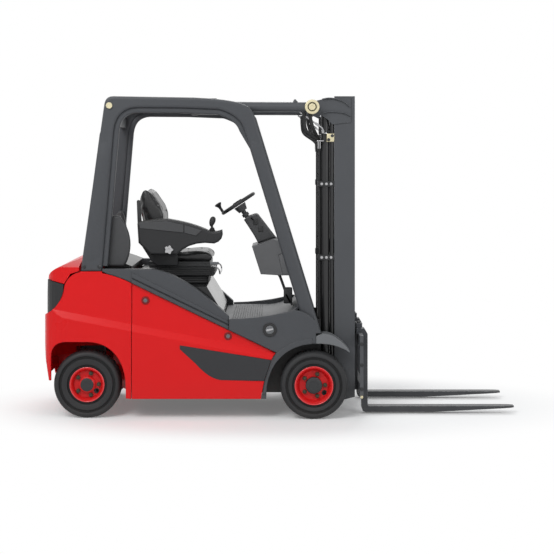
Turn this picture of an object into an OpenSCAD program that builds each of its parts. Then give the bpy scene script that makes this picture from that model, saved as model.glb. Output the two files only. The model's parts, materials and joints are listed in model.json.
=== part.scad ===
// Counterbalance forklift truck with an overhead guard, overhead tilt cylinders and a two-stage mast.
// +X points forward over the forks, +Y to the driver's left, +Z up. The origin is on the floor, at the
// middle of the truck's length and width. All lengths are in millimetres.

/* [Overall layout] */
// Distance between the front and rear axles
wheelbase = 1520; // [1440:10:1620]
// Rear axle to the back of the counterweight
rear_overhang = 308; // [296:2:340]
// Front axle to the front face of the forks
load_distance = 372; // [360:1:400]
// Width over the body panels
body_w = 1060; // [1030:5:1120]
// Ground clearance under the body
ground_clearance = 136; // [110:2:170]
// Height of the overhead guard
guard_height = 2159; // [2080:1:2240]

/* [Wheels] */
// Tyre radius, front and rear
tyre_r = 225; // [215:1:232]
// Width of a front tyre
front_tyre_w = 165; // [140:1:170]
// How far the front tyres stand out past the body
tyre_proud = 10; // [4:1:20]
// Width of a rear tyre
rear_tyre_w = 140; // [120:1:144]
// Outer face of a rear tyre inside the body side
rear_tyre_inset = 35; // [25:1:50]
// Middle of a rear tyre to its kingpin
kingpin_offset = 80; // [76:1:84]
// Rim radius under the tyre, front
front_rim_r = 120; // [105:1:130]
// Rim radius under the tyre, rear
rear_rim_r = 108; // [104:1:116]
// Outer edge rounding of the tyres
tyre_shoulder = 20; // [10:1:28]

/* [Mast and forks] */
// Height of the lowered mast
mast_height = 2165; // [2100:5:2300]
// Depth of an outer upright, front to back
upright_depth = 140; // [130:1:146]
// Height of the fork carriage over its two bars
carriage_h = 407; // [380:1:430]
// Width of the fork carriage
carriage_w = 1040; // [960:10:1060]
// Fork blade length
fork_length = 1000; // [800:10:1200]
// Fork width
fork_w = 80; // [60:1:100]
// Fork thickness at the heel
fork_t = 40; // [30:1:45]
// Centre of a fork from the middle of the truck
fork_y = 290; // [286:1:340]
// Fork underside above the floor
fork_ground = 12; // [6:1:40]

/* [Hydraulics] */
// Outer radius of a tilt cylinder barrel
tilt_barrel_r = 33; // [28:1:36]
// Radius of a tilt cylinder rod
tilt_rod_r = 18; // [12:1:22]
// Outer radius of a lift cylinder barrel
lift_barrel_r = 31; // [28:1:32]
// Radius of a lift cylinder rod
lift_rod_r = 20; // [14:1:22]

/* [Driver's place] */
// Steering wheel radius
steering_wheel_r = 138; // [120:1:150]
// Height of the floor plate at its rear
floor_z = 660; // [640:2:680]
// Seat width
seat_w = 480; // [420:5:500]

/* [Hidden] */
$fn = 48;
// Running gap between a shaft and its bore, and the gap between fitted pieces
run_gap = 0.3;
seam = 2;

overall_length = rear_overhang + wheelbase + load_distance + fork_length;
rear_x = -overall_length / 2;
rear_axle_x = rear_x + rear_overhang;
front_axle_x = rear_axle_x + wheelbase;
fork_face_x = front_axle_x + load_distance;
half_w = body_w / 2;

// Where things stand across the truck, from the body sides inwards
guard_outer_y = half_w - 30;
guard_inner_y = guard_outer_y - 70;
rail_inner_y = half_w - 90;
tilt_y = guard_inner_y - 42;
mast_half = tilt_y - 43;
frame_inner_y = mast_half + 7;
frame_front_y = frame_inner_y + 12;
rear_wheel_y = half_w - rear_tyre_inset - rear_tyre_w / 2;
kingpin_y = rear_wheel_y - kingpin_offset;
front_wheel_y = half_w + tyre_proud - front_tyre_w / 2;

red = [0.80, 0.05, 0.06];
dark_grey = [0.25, 0.26, 0.28];
mid_grey = [0.33, 0.34, 0.36];
black = [0.07, 0.07, 0.08];
rubber = [0.10, 0.10, 0.11];
steel = [0.62, 0.63, 0.65];
zinc = [0.86, 0.82, 0.62];

// Shape helpers

// A flat outline in X and Z, as thick as y0 to y1
module slab(y0, y1) {
  translate([0, y1, 0]) rotate([90, 0, 0]) linear_extrude(y1 - y0) children();
}

// The same piece on the right side and on the left
module both_sides() {
  children();
  mirror([0, 1, 0]) children();
}

// A cylinder along Y from y0 to y1, centred at x and z
module rod_y(x, z, r, y0, y1) {
  translate([x, y1, z]) rotate([90, 0, 0]) cylinder(r = r, h = y1 - y0);
}

// A box from one corner to the other
module box(a, b) {
  translate(a) cube(b - a);
}

// Points of a quadratic curve from a to c, drawn towards b, without its first point
function bend(a, b, c, n = 8) =
  [for (i = [1:n]) let (t = i / n) (1 - t) * (1 - t) * a + 2 * t * (1 - t) * b + t * t * c];

// Points of an arc about c, without any end left out
function arc(c, r, a0, a1, n = 10) =
  [for (i = [0:n]) let (a = a0 + (a1 - a0) * i / n) c + r * [cos(a), sin(a)]];

// Points of a fuller-than-round arch: half-width a, height b, from its left foot to its right foot
arch_power = 2.25;
function arch_point(c, a, b, t) =
  c + [sign(cos(t)) * a * pow(abs(cos(t)), 2 / arch_power), b * pow(sin(t), 2 / arch_power)];
function arch(c, a, b, t0 = 180, t1 = 0, n = 24) =
  [for (i = [0:n]) arch_point(c, a, b, t0 + (t1 - t0) * i / n)];

// The unit vector of v
function unit(v) = v / norm(v);
// The normal that points into a clockwise outline, for its side from a to b
function inward(a, b) = let (u = unit(b - a)) [u[1], -u[0]];
// A clockwise outline drawn back into itself by d
function inset(pts, d) = let (n = len(pts)) [for (i = [0:n - 1]) let (
  p = pts[i], m = inward(pts[(i + n - 1) % n], p), k = inward(p, pts[(i + 1) % n]))
  p + d * (m + k) / (1 + m * k)];

// Whether p lies in the clockwise triangle a, b, c
function holds(a, b, c, p) =
  cross(b - a, p - a) <= 0 && cross(c - b, p - b) <= 0 && cross(a - c, p - c) <= 0;
// Whether the corner at place i of a clockwise outline can be cut off as a triangle
function is_ear(pts, ids, i) = let (
  n = len(ids), p = ids[(i + n - 1) % n], q = ids[i], r = ids[(i + 1) % n])
  cross(pts[q] - pts[p], pts[r] - pts[q]) < 0
  && len([for (k = ids) if (k != p && k != q && k != r && holds(pts[p], pts[q], pts[r], pts[k])) k]) == 0;
function first_ear(pts, ids, i = 0) =
  i >= len(ids) ? 0 : is_ear(pts, ids, i) ? i : first_ear(pts, ids, i + 1);
// A clockwise outline cut into triangles, each as three places in pts
function triangles(pts, ids) = len(ids) < 4 ? [ids] : let (n = len(ids), i = first_ear(pts, ids)) concat(
  [[ids[(i + n - 1) % n], ids[i], ids[(i + 1) % n]]],
  triangles(pts, [for (k = [0:n - 1]) if (k != i) ids[k]]));

// A closed skin over rings of points, each as many, wound so that it faces outwards.
// The end rings are closed by the triangles of cap, or by one face when they are convex.
module skin(rings, cap = []) {
  n = len(rings[0]);
  last = (len(rings) - 1) * n;
  first = len(cap) > 0 ? cap : [[for (i = [0:n - 1]) i]];
  polyhedron(points = [for (ring = rings) for (p = ring) p], faces = concat(
    first, [for (t = first) [for (i = [len(t) - 1:-1:0]) last + t[i]]],
    [for (k = [0:len(rings) - 2]) for (i = [0:n - 1]) let (j = (i + 1) % n)
      [k * n + i, (k + 1) * n + i, (k + 1) * n + j, k * n + j]]), convexity = 6);
}

// A slab of a clockwise outline with its edges rounded by r
module soft_slab(pts, y0, y1, r) {
  steps = [[y0, r], [y0 + r * 0.3, r * 0.3], [y0 + r, 0], [y1 - r, 0], [y1 - r * 0.3, r * 0.3], [y1, r]];
  skin([for (s = steps) [for (p = inset(pts, s[1])) [p[0], s[0], p[1]]]],
       triangles(inset(pts, r), [for (i = [0:len(pts) - 1]) i]));
}

// A hose of radius r along points that don't run along Y
hose_sides = 8;
module hose(path, r) {
  n = len(path);
  skin([for (i = [0:n - 1]) let (
    t = unit(path[min(i + 1, n - 1)] - path[max(i - 1, 0)]), u = unit(cross([0, 1, 0], t)), v = cross(t, u))
    [for (k = [0:hose_sides - 1]) let (a = -k * 360 / hose_sides) path[i] + r * (cos(a) * u + sin(a) * v)]]);
}

// Body lines

// The gap between counterweight and side panels
split_x = rear_axle_x + 302;
// The belt line, from the split down to the front tip of the side panels
belt_rear = [split_x, 905];
belt_tip = [front_axle_x - 257, 441];
belt_slope = (belt_tip[1] - belt_rear[1]) / (belt_tip[0] - belt_rear[0]);
function belt_z(x) = belt_rear[1] + belt_slope * (x - belt_rear[0]);

// The shoulder that runs along the counterweight and side panels
shoulder_rear = [rear_axle_x - 225, 688];
shoulder_front = [front_axle_x - 287, 406];
shoulder_angle = atan2(shoulder_rear[1] - shoulder_front[1], shoulder_front[0] - shoulder_rear[0]);
shoulder_h = 45;
shoulder_in = 22;
upper_lean = 1.6;

// Cuts the right side back above the shoulder: a sloping band, then a nearly upright wall
module shoulder_cut() {
  reach = 3000;
  rise = 900;
  depth = 200;
  translate([shoulder_rear[0], -half_w, shoulder_rear[1]]) rotate([0, shoulder_angle, 0])
    translate([-reach / 2, 0, 0]) rotate([90, 0, 90]) linear_extrude(reach) polygon([
      [-shoulder_in, -shoulder_h], [shoulder_in, shoulder_h],
      [shoulder_in + rise * tan(upper_lean), shoulder_h + rise], [-depth, shoulder_h + rise],
      [-depth, -shoulder_h]]);
}

// Front wheel arch of the body
arch_c = [front_axle_x + 27, 143];
arch_a = 345;
arch_b = 361;
arch_lip = 44;

// Rear wheel arch of the counterweight: round in front, squared behind
rear_arch_front = 264;
rear_arch_back = 240;
rear_arch_top = 516;
rear_arch_foot = 200;
function rear_arch_points() = concat(
  [[rear_axle_x - rear_arch_back, 0], [rear_axle_x - rear_arch_back, rear_arch_top - 110]],
  bend([rear_axle_x - rear_arch_back, rear_arch_top - 110], [rear_axle_x - rear_arch_back, rear_arch_top],
       [rear_axle_x - rear_arch_back + 110, rear_arch_top]),
  [for (p = arch([rear_axle_x, rear_arch_foot], rear_arch_front, rear_arch_top - rear_arch_foot, 92, 0, 12)) p],
  [[rear_axle_x + rear_arch_front, 0]]);

// Room for a turned rear wheel about its kingpin
well_r = 276;
skirt_t = 33;
well_top = 516;

// Top edge of the counterweight from the split back to the grille
cw_top = concat([belt_rear + [-seam, 0]],
  bend(belt_rear, [rear_axle_x + 140, 986], [rear_axle_x - 20, 982]),
  bend([rear_axle_x - 20, 982], [rear_axle_x - 115, 982], [rear_axle_x - 150, 890]));
grille_top_corner = [rear_axle_x - 150, 890];
grille_low_corner = [rear_axle_x - 285, 694];
grille_edge = bend(grille_top_corner, [rear_axle_x - 168, 745], grille_low_corner);

counterweight_profile = concat(
  cw_top, grille_edge,
  [[rear_x, 676], [rear_x + 8, 576], [rear_x + 26, 401], [rear_x + 55, 245], [rear_x + 100, 190]],
  [[split_x - seam, ground_clearance]]);

// Plan of the tail: crowned across the back, with round corners
tail_corner = 130;
tail_crown = 14;
module tail_plan(inset = 0) {
  w = half_w - inset;
  x = rear_x + inset;
  polygon(concat(
    [[split_x + 400, -w], [split_x + 400, w]],
    bend([x + tail_corner + 54, w], [x + tail_crown, w], [x + tail_crown, w - tail_corner]),
    bend([x + tail_crown, w - tail_corner], [x - tail_crown, 0], [x + tail_crown, -w + tail_corner]),
    bend([x + tail_crown, -w + tail_corner], [x + tail_crown, -w], [x + tail_corner + 54, -w])));
}

// Chassis pieces

panel_inner_y = half_w - 52;
frame_outer_y = panel_inner_y;
belly_t = 14;

// Welded chassis: side boxes, belly plate, end plate, the front plates over the drive axle and the guard's pads
hood_seat_drop = 60;
module frame() color(black) {
  low = ground_clearance + 16;
  front = front_axle_x - 420;
  both_sides() {
    slab(-frame_outer_y, -rail_inner_y) polygon([[split_x + 12, low], [split_x + 12, belt_z(split_x + 12) + 4],
      [front, belt_z(front) + 4], [front, low]]);
    slab(-rail_inner_y - 1, -frame_inner_y) polygon([[split_x + 12, low],
      [split_x + 12, belt_z(split_x + 12) - hood_seat_drop],
      [front, belt_z(front) - hood_seat_drop], [front, low]]);
    slab(-frame_front_y, -frame_inner_y) polygon([[front - 1, low], [front - 1, floor_z - 12],
      [front_axle_x + 51, floor_z - 12], [front_axle_x + 51, 330], [front_axle_x - 120, 330],
      [front_axle_x - 160, low]]);
    box([front_axle_x - 60, -guard_outer_y, a_foot[1] - 26], [tip_seam_x - 1, -frame_front_y + 1, a_foot[1]]);
  }
  box([split_x + 12, -frame_inner_y - 1, low], [front_axle_x - 160, frame_inner_y + 1, low + belly_t]);
  box([split_x + 12, -frame_inner_y - 1, low], [split_x + 32, frame_inner_y + 1, 820]);
  box([front_axle_x - 120, -frame_inner_y - 1, 330], [front_axle_x + 20, frame_inner_y + 1, 346]);
  box([front_axle_x - 84, -frame_inner_y - 1, 330], [front_axle_x - 70, frame_inner_y + 1, floor_z - 12]);
}

engine_rear_x = split_x + 60;
module engine_block() color(dark_grey)
  box([engine_rear_x, -270, ground_clearance + 16 + belly_t], [front_axle_x - 708, 270, 790]);

tow_pin_r = 15;
tow_pin_x = rear_x + 46;
tow_slot_z = 480;
tow_slot_h = 70;

module counterweight() color(red) difference() {
  union() {
    intersection() {
      slab(-half_w, half_w) polygon(counterweight_profile);
      linear_extrude(1200) tail_plan();
    }
    // Flat seats for the guard's rear feet
    both_sides()
      box([pillar_foot_rear - 4, -guard_outer_y, 880], [pillar_foot_front + 2, -guard_inner_y, guard_foot_z]);
  }
  both_sides() {
    shoulder_cut();
    slab(-half_w - 10, -kingpin_y) polygon(rear_arch_points());
    // Well in which the wheel steers, inside the outer skin
    intersection() {
      translate([rear_axle_x, -kingpin_y, -1]) cylinder(r = well_r, h = well_top + 1, $fn = 72);
      box([rear_x, -half_w + skirt_t, -2], [split_x, 0, well_top + 2]);
    }
    // The back wall ends above the wheel, inside its outer lip
    box([rear_x - 10, -half_w + 55, -1], [rear_axle_x, -75, 380]);
    box([rear_x - 10, -half_w - 10, -1], [rear_axle_x, -half_w + 56, 255]);
  }
  // Pocket for the steering axle
  box([rear_axle_x - 130, -kingpin_y, -1], [rear_axle_x + 130, kingpin_y, 430]);
  // Tow slot with its pin hole
  box([rear_x - 10, -60, tow_slot_z], [rear_x + 90, 60, tow_slot_z + tow_slot_h]);
  translate([tow_pin_x, 0, tow_slot_z - 60]) cylinder(r = tow_pin_r + run_gap, h = 300);
}

module tow_pin() color(steel) {
  translate([tow_pin_x, 0, tow_slot_z - 60]) cylinder(r = tow_pin_r, h = 300 - 60);
}

grille_slots = 4;
module rear_grille() color(black) difference() {
  intersection() {
    slab(-half_w + 16, half_w - 16)
      polygon(concat([[rear_x + 36, 926], [rear_axle_x - 155, 898]],
        bend(grille_top_corner + [-run_gap, run_gap], [rear_axle_x - 168 - run_gap, 745 + run_gap],
             grille_low_corner + [run_gap, 1]),
        [[rear_x + 23.5, 704]]));
    linear_extrude(1200) tail_plan(14);
  }
  // Louvres across the back
  for (i = [0:grille_slots - 1])
    box([rear_x, -half_w + 190, 752 + i * 40], [rear_x + 52, half_w - 190, 770 + i * 40]);
}

pillar_foot_rear = rear_axle_x - 44;
pillar_foot_front = rear_axle_x + 100;
guard_foot_z = 984;

tail_crown_r = 1900;
module tail_cover() color(red) intersection() {
  union() {
    slab(-half_w + 24, half_w - 24) polygon(concat(
      [[rear_x + 36, 930]],
      bend([rear_x + 36, 930], [rear_x + 40, 985], [rear_x + 150, 1026]),
      [[pillar_foot_rear - 8, 1066], [pillar_foot_rear - 8, 986]],
      [[rear_axle_x - 60, 984], [rear_axle_x - 110, 968], [rear_axle_x - 152, 902]]));
    slab(-guard_inner_y + 50, guard_inner_y - 50) polygon(concat(
      [[pillar_foot_rear - 9, 1066]],
      bend([pillar_foot_rear - 9, 1066], [rear_axle_x + 90, 1092], [split_x - 12, 1010]),
      [for (i = [1:8]) let (p = cw_top[i]) if (p[0] < split_x - 12) p],
      [[pillar_foot_rear - 9, 986]]));
  }
  linear_extrude(1200) tail_plan(20);
  translate([rear_x - 50, 0, 1082 - tail_crown_r]) rotate([0, 90, 0])
    cylinder(r = tail_crown_r, h = 800, $fn = 180);
}

// Outline of the dark insert low on a side panel, front edge flush with the panel's
insert_depth = 6;
insert_front = [[front_axle_x - 286, 395], [front_axle_x - 332, 257]];
insert_back = concat([[front_axle_x - 620, 262]],
  bend([front_axle_x - 620, 262], [front_axle_x - 700, 270], [front_axle_x - 790, 372]),
  [[front_axle_x - 895, 468], [front_axle_x - 895, 494]]);
lock_r = 26;
lock_at = [[rear_axle_x + 393, 791], [front_axle_x - 574, 552]];

module side_panel() color(red) difference() {
  slab(-half_w, -panel_inner_y) polygon([
    [split_x + seam, ground_clearance], belt_rear + [seam, -1], belt_tip,
    insert_front[0], insert_front[1], [front_axle_x - 355, ground_clearance]]);
  shoulder_cut();
  slab(-half_w - 10, -half_w + insert_depth)
    polygon(concat([insert_front[0] + [10, 0], insert_front[1] + [10, -3.5]], insert_back));
  for (p = lock_at) rod_y(p[0], p[1], lock_r + run_gap, -half_w, -panel_inner_y - 12);
}
module side_panel_right() side_panel();
module side_panel_left() mirror([0, 1, 0]) side_panel();

module side_inserts() color(dark_grey) both_sides() slab(-half_w - 1, -half_w + insert_depth)
  polygon(concat([for (p = insert_front) p - [0.5, 0]], [for (p = insert_back) p]));

// Grey front fender with its wheel arch, and the mudguard over the tyre
sill_rear = [front_axle_x - 568, 670];
sill_front = [front_axle_x - 136, 728];
fender_inner_y = half_w - 28;
liner_t = 8;
lip_proud = 6;
tip_seam_x = front_axle_x + 14;
seam_t = acos(-pow((arch_c[0] - tip_seam_x) / arch_a, arch_power / 2));
function arch_right(t) = arch_point(arch_c, arch_a, arch_b, t);
lip_edge = [[front_axle_x - 355 + seam, ground_clearance], [front_axle_x - 332 + seam, 257],
  [front_axle_x - 286 + seam, 395]];
fender_outline = concat(
  lip_edge, [belt_tip + [4, 4], [sill_rear[0], belt_z(sill_rear[0]) + 4], sill_rear],
  bend(sill_rear, [front_axle_x - 300, 676], sill_front, 5),
  bend(sill_front, [front_axle_x, 724], [front_axle_x + 48, 574], 6),
  [[tip_seam_x, 572]], arch(arch_c, arch_a, arch_b, seam_t, 180, 18), [[arch_c[0] - arch_a, ground_clearance]]);

lip_back = 1.5;
liner_back = 2.5;
function arch_set(d, t0, t1, n) = arch(arch_c, arch_a + d, arch_b + d, t0, t1, n);
module front_fender() color(dark_grey) {
  soft_slab(fender_outline, -half_w, -fender_inner_y, 5);
  // Raised lip round the arch
  slab(-half_w - lip_proud, -half_w + 8) polygon(concat(
    arch_set(lip_back, 177, 94, 16), arch_set(arch_lip - 6, 94.3, 136, 9),
    [lip_edge[1] + [9, 0], arch_right(177) + [-26, 0]]));
  // Mudguard over the tyre
  slab(-fender_inner_y - 10, -frame_front_y) polygon(concat(
    arch_set(liner_back + liner_t, 175, seam_t + 0.6, 19), arch_set(liner_back, seam_t + 0.6, 175, 17)));
}
module front_fender_right() front_fender();
module front_fender_left() mirror([0, 1, 0]) front_fender();

// Separate mudguard tips in front of the fenders
module fender_tips() color(mid_grey) both_sides() soft_slab(concat(
    [[tip_seam_x, 554]],
    bend([tip_seam_x, 554], [front_axle_x + 80, 590], [front_axle_x + 145, 545], 5),
    bend([front_axle_x + 145, 545], [front_axle_x + 215, 500], [front_axle_x + 239, 455], 5),
    arch(arch_c, arch_a, arch_b, 55, seam_t, 9)),
  -half_w, -frame_front_y - 14, 4);

// Grey mouldings over the side panels, from the guard's rear feet down to the sills
rail_end_x = sill_rear[0] - seam;
rail_step = 30;
module belt_rails() color(dark_grey) both_sides() {
  top = bend([rail_end_x, sill_rear[1] + 16], [front_axle_x - 890, 985], [split_x + 130, 998]);
  under = [for (i = [5:-1:1]) let (p = cw_top[i])
    if (p[0] < split_x && p[0] > pillar_foot_front + 4) p + [0, 4]];
  slab(-half_w + 26, -rail_inner_y) polygon(concat(
    [[split_x, belt_z(split_x) + 4], [rail_end_x, belt_z(rail_end_x) + 4], [rail_end_x, sill_rear[1] + 16]],
    top,
    [[pillar_foot_front + 4, 1002], [pillar_foot_front + 4, 985]], under));
  // Lower strip along the panel's edge, and a second bead above it
  slab(-half_w + 12, -half_w + 27) polygon(concat(
    [[split_x, belt_z(split_x) + 4], [rail_end_x, belt_z(rail_end_x) + 4],
     [rail_end_x, belt_z(rail_end_x) + rail_step], [split_x, belt_z(split_x) + rail_step]]));
  slab(-half_w + 18, -half_w + 27) polygon(concat(
    [[split_x, belt_z(split_x) + rail_step + 9], [rail_end_x, belt_z(rail_end_x) + rail_step + 9],
     [rail_end_x, belt_z(rail_end_x) + rail_step + 30], [split_x, belt_z(split_x) + rail_step + 44]]));
}

toe_x = front_axle_x - 150;
module floor_plate() color(black) intersection() {
  slab(-fender_inner_y, fender_inner_y) polygon(concat(
    [[sill_rear[0] - 40, floor_z - 12], [sill_rear[0] - 40, floor_z], [front_axle_x - 330, floor_z]],
    bend([front_axle_x - 330, floor_z], [front_axle_x - 230, floor_z], [front_axle_x - 130, floor_z + 56]),
    [[front_axle_x - 60, floor_z + 130], [front_axle_x - 50, floor_z + 122],
     [front_axle_x - 122, floor_z + 42]],
    bend([front_axle_x - 122, floor_z + 42], [front_axle_x - 226, floor_z - 12],
         [front_axle_x - 330, floor_z - 12])));
  union() {
    box([rear_axle_x, -rail_inner_y + seam, 0], [sill_rear[0] + 1, rail_inner_y - seam, 1200]);
    box([sill_rear[0], -half_w, 0], [toe_x, half_w, 1200]);
    box([toe_x - 1, -guard_inner_y + 6, 0], [front_axle_x, guard_inner_y - 6, 1200]);
  }
}

// Overhead guard

roof_rear = [rear_axle_x + 115, guard_height - 54];
roof_front = [front_axle_x - 407, guard_height - 98];
a_foot = [front_axle_x + 51, 570];
a_slope = (a_foot[0] - roof_front[0]) / (roof_front[1] - a_foot[1]);
a_width = 100;
rail_h = 78;
function a_x(z) = roof_front[0] + a_slope * (roof_front[1] - z);

function guard_outline() = concat(
  [[pillar_foot_rear, guard_foot_z], roof_rear],
  bend(roof_rear, [roof_rear[0] + 8, guard_height], [roof_rear[0] + 60, guard_height], 5),
  bend([front_axle_x - 900, guard_height - 6], [front_axle_x - 560, guard_height - 12],
       [front_axle_x - 459, guard_height - 58], 7),
  bend([front_axle_x - 459, guard_height - 58], [front_axle_x - 425, guard_height - 72],
       roof_front + [8, -26], 3),
  [a_foot, a_foot + [-a_width, 0], [a_x(roof_front[1] - 120) - a_width, roof_front[1] - 120]],
  bend([a_x(roof_front[1] - 120) - a_width, roof_front[1] - 120],
       [a_x(roof_front[1]) - a_width + 6, roof_front[1] - 30],
       [front_axle_x - 640, guard_height - rail_h - 12], 7),
  [[front_axle_x - 900, guard_height - rail_h - 2], [rear_axle_x + 330, guard_height - rail_h]],
  bend([rear_axle_x + 330, guard_height - rail_h], [rear_axle_x + 196, guard_height - rail_h - 10],
       [rear_axle_x + 180, guard_height - 230], 6),
  [[pillar_foot_front, guard_foot_z]]);
guard_edge_r = 16;
module guard_side() soft_slab(guard_outline(), -guard_outer_y, -guard_inner_y, guard_edge_r);

guard_pin = [rear_axle_x + 150, guard_height - 63];
guard_pin_r = 12;
module guard_frame() color(dark_grey) {
  difference() {
    both_sides() guard_side();
    rod_y(guard_pin[0], guard_pin[1], guard_pin_r + run_gap, -guard_outer_y - 1, guard_outer_y + 1);
  }
  // Cross members: rear top, front top and rear middle
  box([rear_axle_x + 122, -guard_inner_y - 24, guard_height - 196],
      [rear_axle_x + 164, guard_inner_y + 24, guard_height - 120]);
  box([front_axle_x - 462, -guard_inner_y - 24, guard_height - 197],
      [front_axle_x - 416, guard_inner_y + 24, guard_height - 143]);
}

slat_n = 8;
module guard_roof() color(dark_grey) {
  x0 = rear_axle_x + 240;
  x1 = front_axle_x - 680;
  for (i = [0:slat_n - 1]) {
    x = x0 + (x1 - x0) * i / (slat_n - 1);
    box([x - 24, -guard_inner_y, guard_height - 24], [x + 24, guard_inner_y, guard_height - 12]);
  }
}

module guard_pins() color(zinc) both_sides() {
  rod_y(guard_pin[0], guard_pin[1], guard_pin_r, -guard_outer_y - 1, -tilt_y + 22);
  rod_y(guard_pin[0], guard_pin[1], 21, -guard_outer_y - 10, -guard_outer_y - run_gap);
}

cover_outline = concat(
  [[rear_axle_x + 70, 1012], [rear_axle_x + 78, 1300]],
  bend([rear_axle_x + 78, 1300], [rear_axle_x + 120, 1366], [rear_axle_x + 210, 1356], 4),
  bend([rear_axle_x + 210, 1356], [rear_axle_x + 336, 1190], [rear_axle_x + 244, 1012], 8));
module pillar_covers() color(black) both_sides()
  soft_slab(cover_outline, -guard_inner_y, -guard_inner_y + 44, 12);

// Axles, wheels and steering

spindle_r = 38;
axle_arm_r = 60;
lug_r = 36;
front_hub_y = front_wheel_y + 36;
mast_pivot = [front_axle_x + 104, 226];
mast_pin_r = 22;
pivot_lug_y = mast_half - 95;
pivot_lug_w = 40;

module front_axle() color(dark_grey) {
  rod_y(front_axle_x, tyre_r, 104, -190, 190);
  both_sides() {
    rod_y(front_axle_x, tyre_r, axle_arm_r, -front_hub_y + 40, -189);
    rod_y(front_axle_x, tyre_r, spindle_r, -front_hub_y - 32, -front_hub_y + 41);
    // Saddle up to the frame
    box([front_axle_x - 70, -frame_inner_y + 2, tyre_r], [front_axle_x + 20, -250, 330]);
    // Mast trunnion between two cheeks
    for (y = [-pivot_lug_y - pivot_lug_w / 2 - 22, -pivot_lug_y + pivot_lug_w / 2 + 6])
      slab(y, y + 16) hull() {
        translate([front_axle_x + 20, tyre_r]) square([2, 90], center = true);
        translate(mast_pivot) circle(r = lug_r);
      }
    rod_y(mast_pivot[0], mast_pivot[1], mast_pin_r,
          -pivot_lug_y - pivot_lug_w / 2 - 22, -pivot_lug_y + pivot_lug_w / 2 + 22);
  }
}

// Ring of tyre section between rim and tread, turned about Y, with a bead and a rib on its walls
module tyre(y, w, bead_r) {
  s = tyre_shoulder;
  side = [[bead_r, w / 2 - 16], [bead_r + 14, w / 2 - 3], [bead_r + 28, w / 2 - 3],
    [bead_r + 32, w / 2 - 7], [bead_r + 52, w / 2 - 7], [bead_r + 57, w / 2 - 2], [tyre_r - s * 1.7, w / 2]];
  n = len(side);
  translate([0, y, tyre_r]) rotate([90, 0, 0]) rotate_extrude($fn = 96) polygon(concat(
    [for (p = side) [p[0], -p[1]]],
    arc([tyre_r - s, -w / 2 + s], s, -80, 0, 4), arc([tyre_r - s, w / 2 - s], s, 0, 80, 4),
    [for (i = [n - 1:-1:0]) side[i]]));
}

// Dished steel wheel: barrel with a flange over the tyre's bead, disc, hub and nuts; out is +1 on the left
nut_circle = 76;
nut_r = 12;
module rim(y, w, bead_r, hub_y, out) {
  g = run_gap;
  d = hub_y - abs(y);
  hub_r = spindle_r + 15;
  f = w / 2 - 16;
  translate([0, y, tyre_r]) mirror([0, out > 0 ? 0 : 1, 0]) difference() {
    union() {
      rotate([-90, 0, 0]) rotate_extrude($fn = 96) polygon([
        [bead_r - g, -f], [bead_r - g, f], [bead_r + 9, f + 9], [bead_r + 9, f + 13],
        [bead_r - 4, f + 13], [bead_r - 13, f + 2], [bead_r - 16, d + 14], [nut_circle + 20, d + 6],
        [hub_r, d + 6], [hub_r, d + 28], [hub_r - 8, d + 34], [spindle_r + g, d + 34],
        [spindle_r + g, d - 26], [hub_r, d - 26], [hub_r, d - 6], [nut_circle + 18, d - 6],
        [bead_r - 14, d + 2], [bead_r - 12, -f]]);
      for (i = [0:4]) rotate([0, i * 72, 0]) rod_y(nut_circle, 0, nut_r, d, d + 19, $fn = 6);
    }
    // Valve hole between two nuts
    rotate([0, 36, 0]) rod_y(bead_r - 32, 0, bead_r * 0.118, d - 20, d + 30);
  }
}

module front_tyre_right() color(rubber) translate([front_axle_x, 0, 0])
  tyre(-front_wheel_y, front_tyre_w, front_rim_r);
module front_tyre_left() color(rubber) translate([front_axle_x, 0, 0])
  tyre(front_wheel_y, front_tyre_w, front_rim_r);
module front_rim_right() color(red) translate([front_axle_x, 0, 0])
  rim(-front_wheel_y, front_tyre_w, front_rim_r, front_hub_y, -1);
module front_rim_left() color(red) translate([front_axle_x, 0, 0])
  rim(front_wheel_y, front_tyre_w, front_rim_r, front_hub_y, 1);

rear_hub_y = rear_wheel_y + 34;
kingpin_r = 18;
yoke_z = 62;
yoke_t = 16;
yoke_r = 30;

module rear_axle() color(dark_grey) {
  box([rear_axle_x - 36, -kingpin_y + 70, tyre_r - 50], [rear_axle_x + 36, kingpin_y - 70, tyre_r + 50]);
  // Pads up to the counterweight
  box([rear_axle_x - 60, -60, tyre_r + 49], [rear_axle_x + 60, 60, 430]);
  // Steering cylinder in front of the beam
  rod_y(rear_axle_x + 57, tyre_r, 22, -110, 110);
  rod_y(rear_axle_x + 57, tyre_r, 12, -132, 132);
  both_sides() {
    box([rear_axle_x - 30, -kingpin_y + 50, tyre_r - yoke_z - yoke_t],
        [rear_axle_x + 30, -kingpin_y + 71, tyre_r + yoke_z + yoke_t]);
    for (z = [tyre_r + yoke_z, tyre_r - yoke_z - yoke_t]) translate([rear_axle_x, -kingpin_y, z]) {
      cylinder(r = yoke_r, h = yoke_t);
      translate([-yoke_r, 0, 0]) cube([2 * yoke_r, 60, yoke_t]);
    }
    translate([rear_axle_x, -kingpin_y, tyre_r - yoke_z - yoke_t])
      cylinder(r = kingpin_r, h = 2 * (yoke_z + yoke_t));
  }
}

// Knuckle on its kingpin with the stub axle that carries the wheel
module knuckle() difference() {
  union() {
    translate([rear_axle_x, -kingpin_y, tyre_r - yoke_z + 1]) cylinder(r = 30, h = 2 * yoke_z - 2);
    rod_y(rear_axle_x, tyre_r, spindle_r - 2, -kingpin_y - 62, -kingpin_y);
    rod_y(rear_axle_x, tyre_r, spindle_r, -rear_hub_y - 32, -kingpin_y - 60);
  }
  translate([rear_axle_x, -kingpin_y, tyre_r - yoke_z]) cylinder(r = kingpin_r + run_gap, h = 2 * yoke_z);
}
module knuckle_right() color(dark_grey) knuckle();
module knuckle_left() color(dark_grey) mirror([0, 1, 0]) knuckle();

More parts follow.
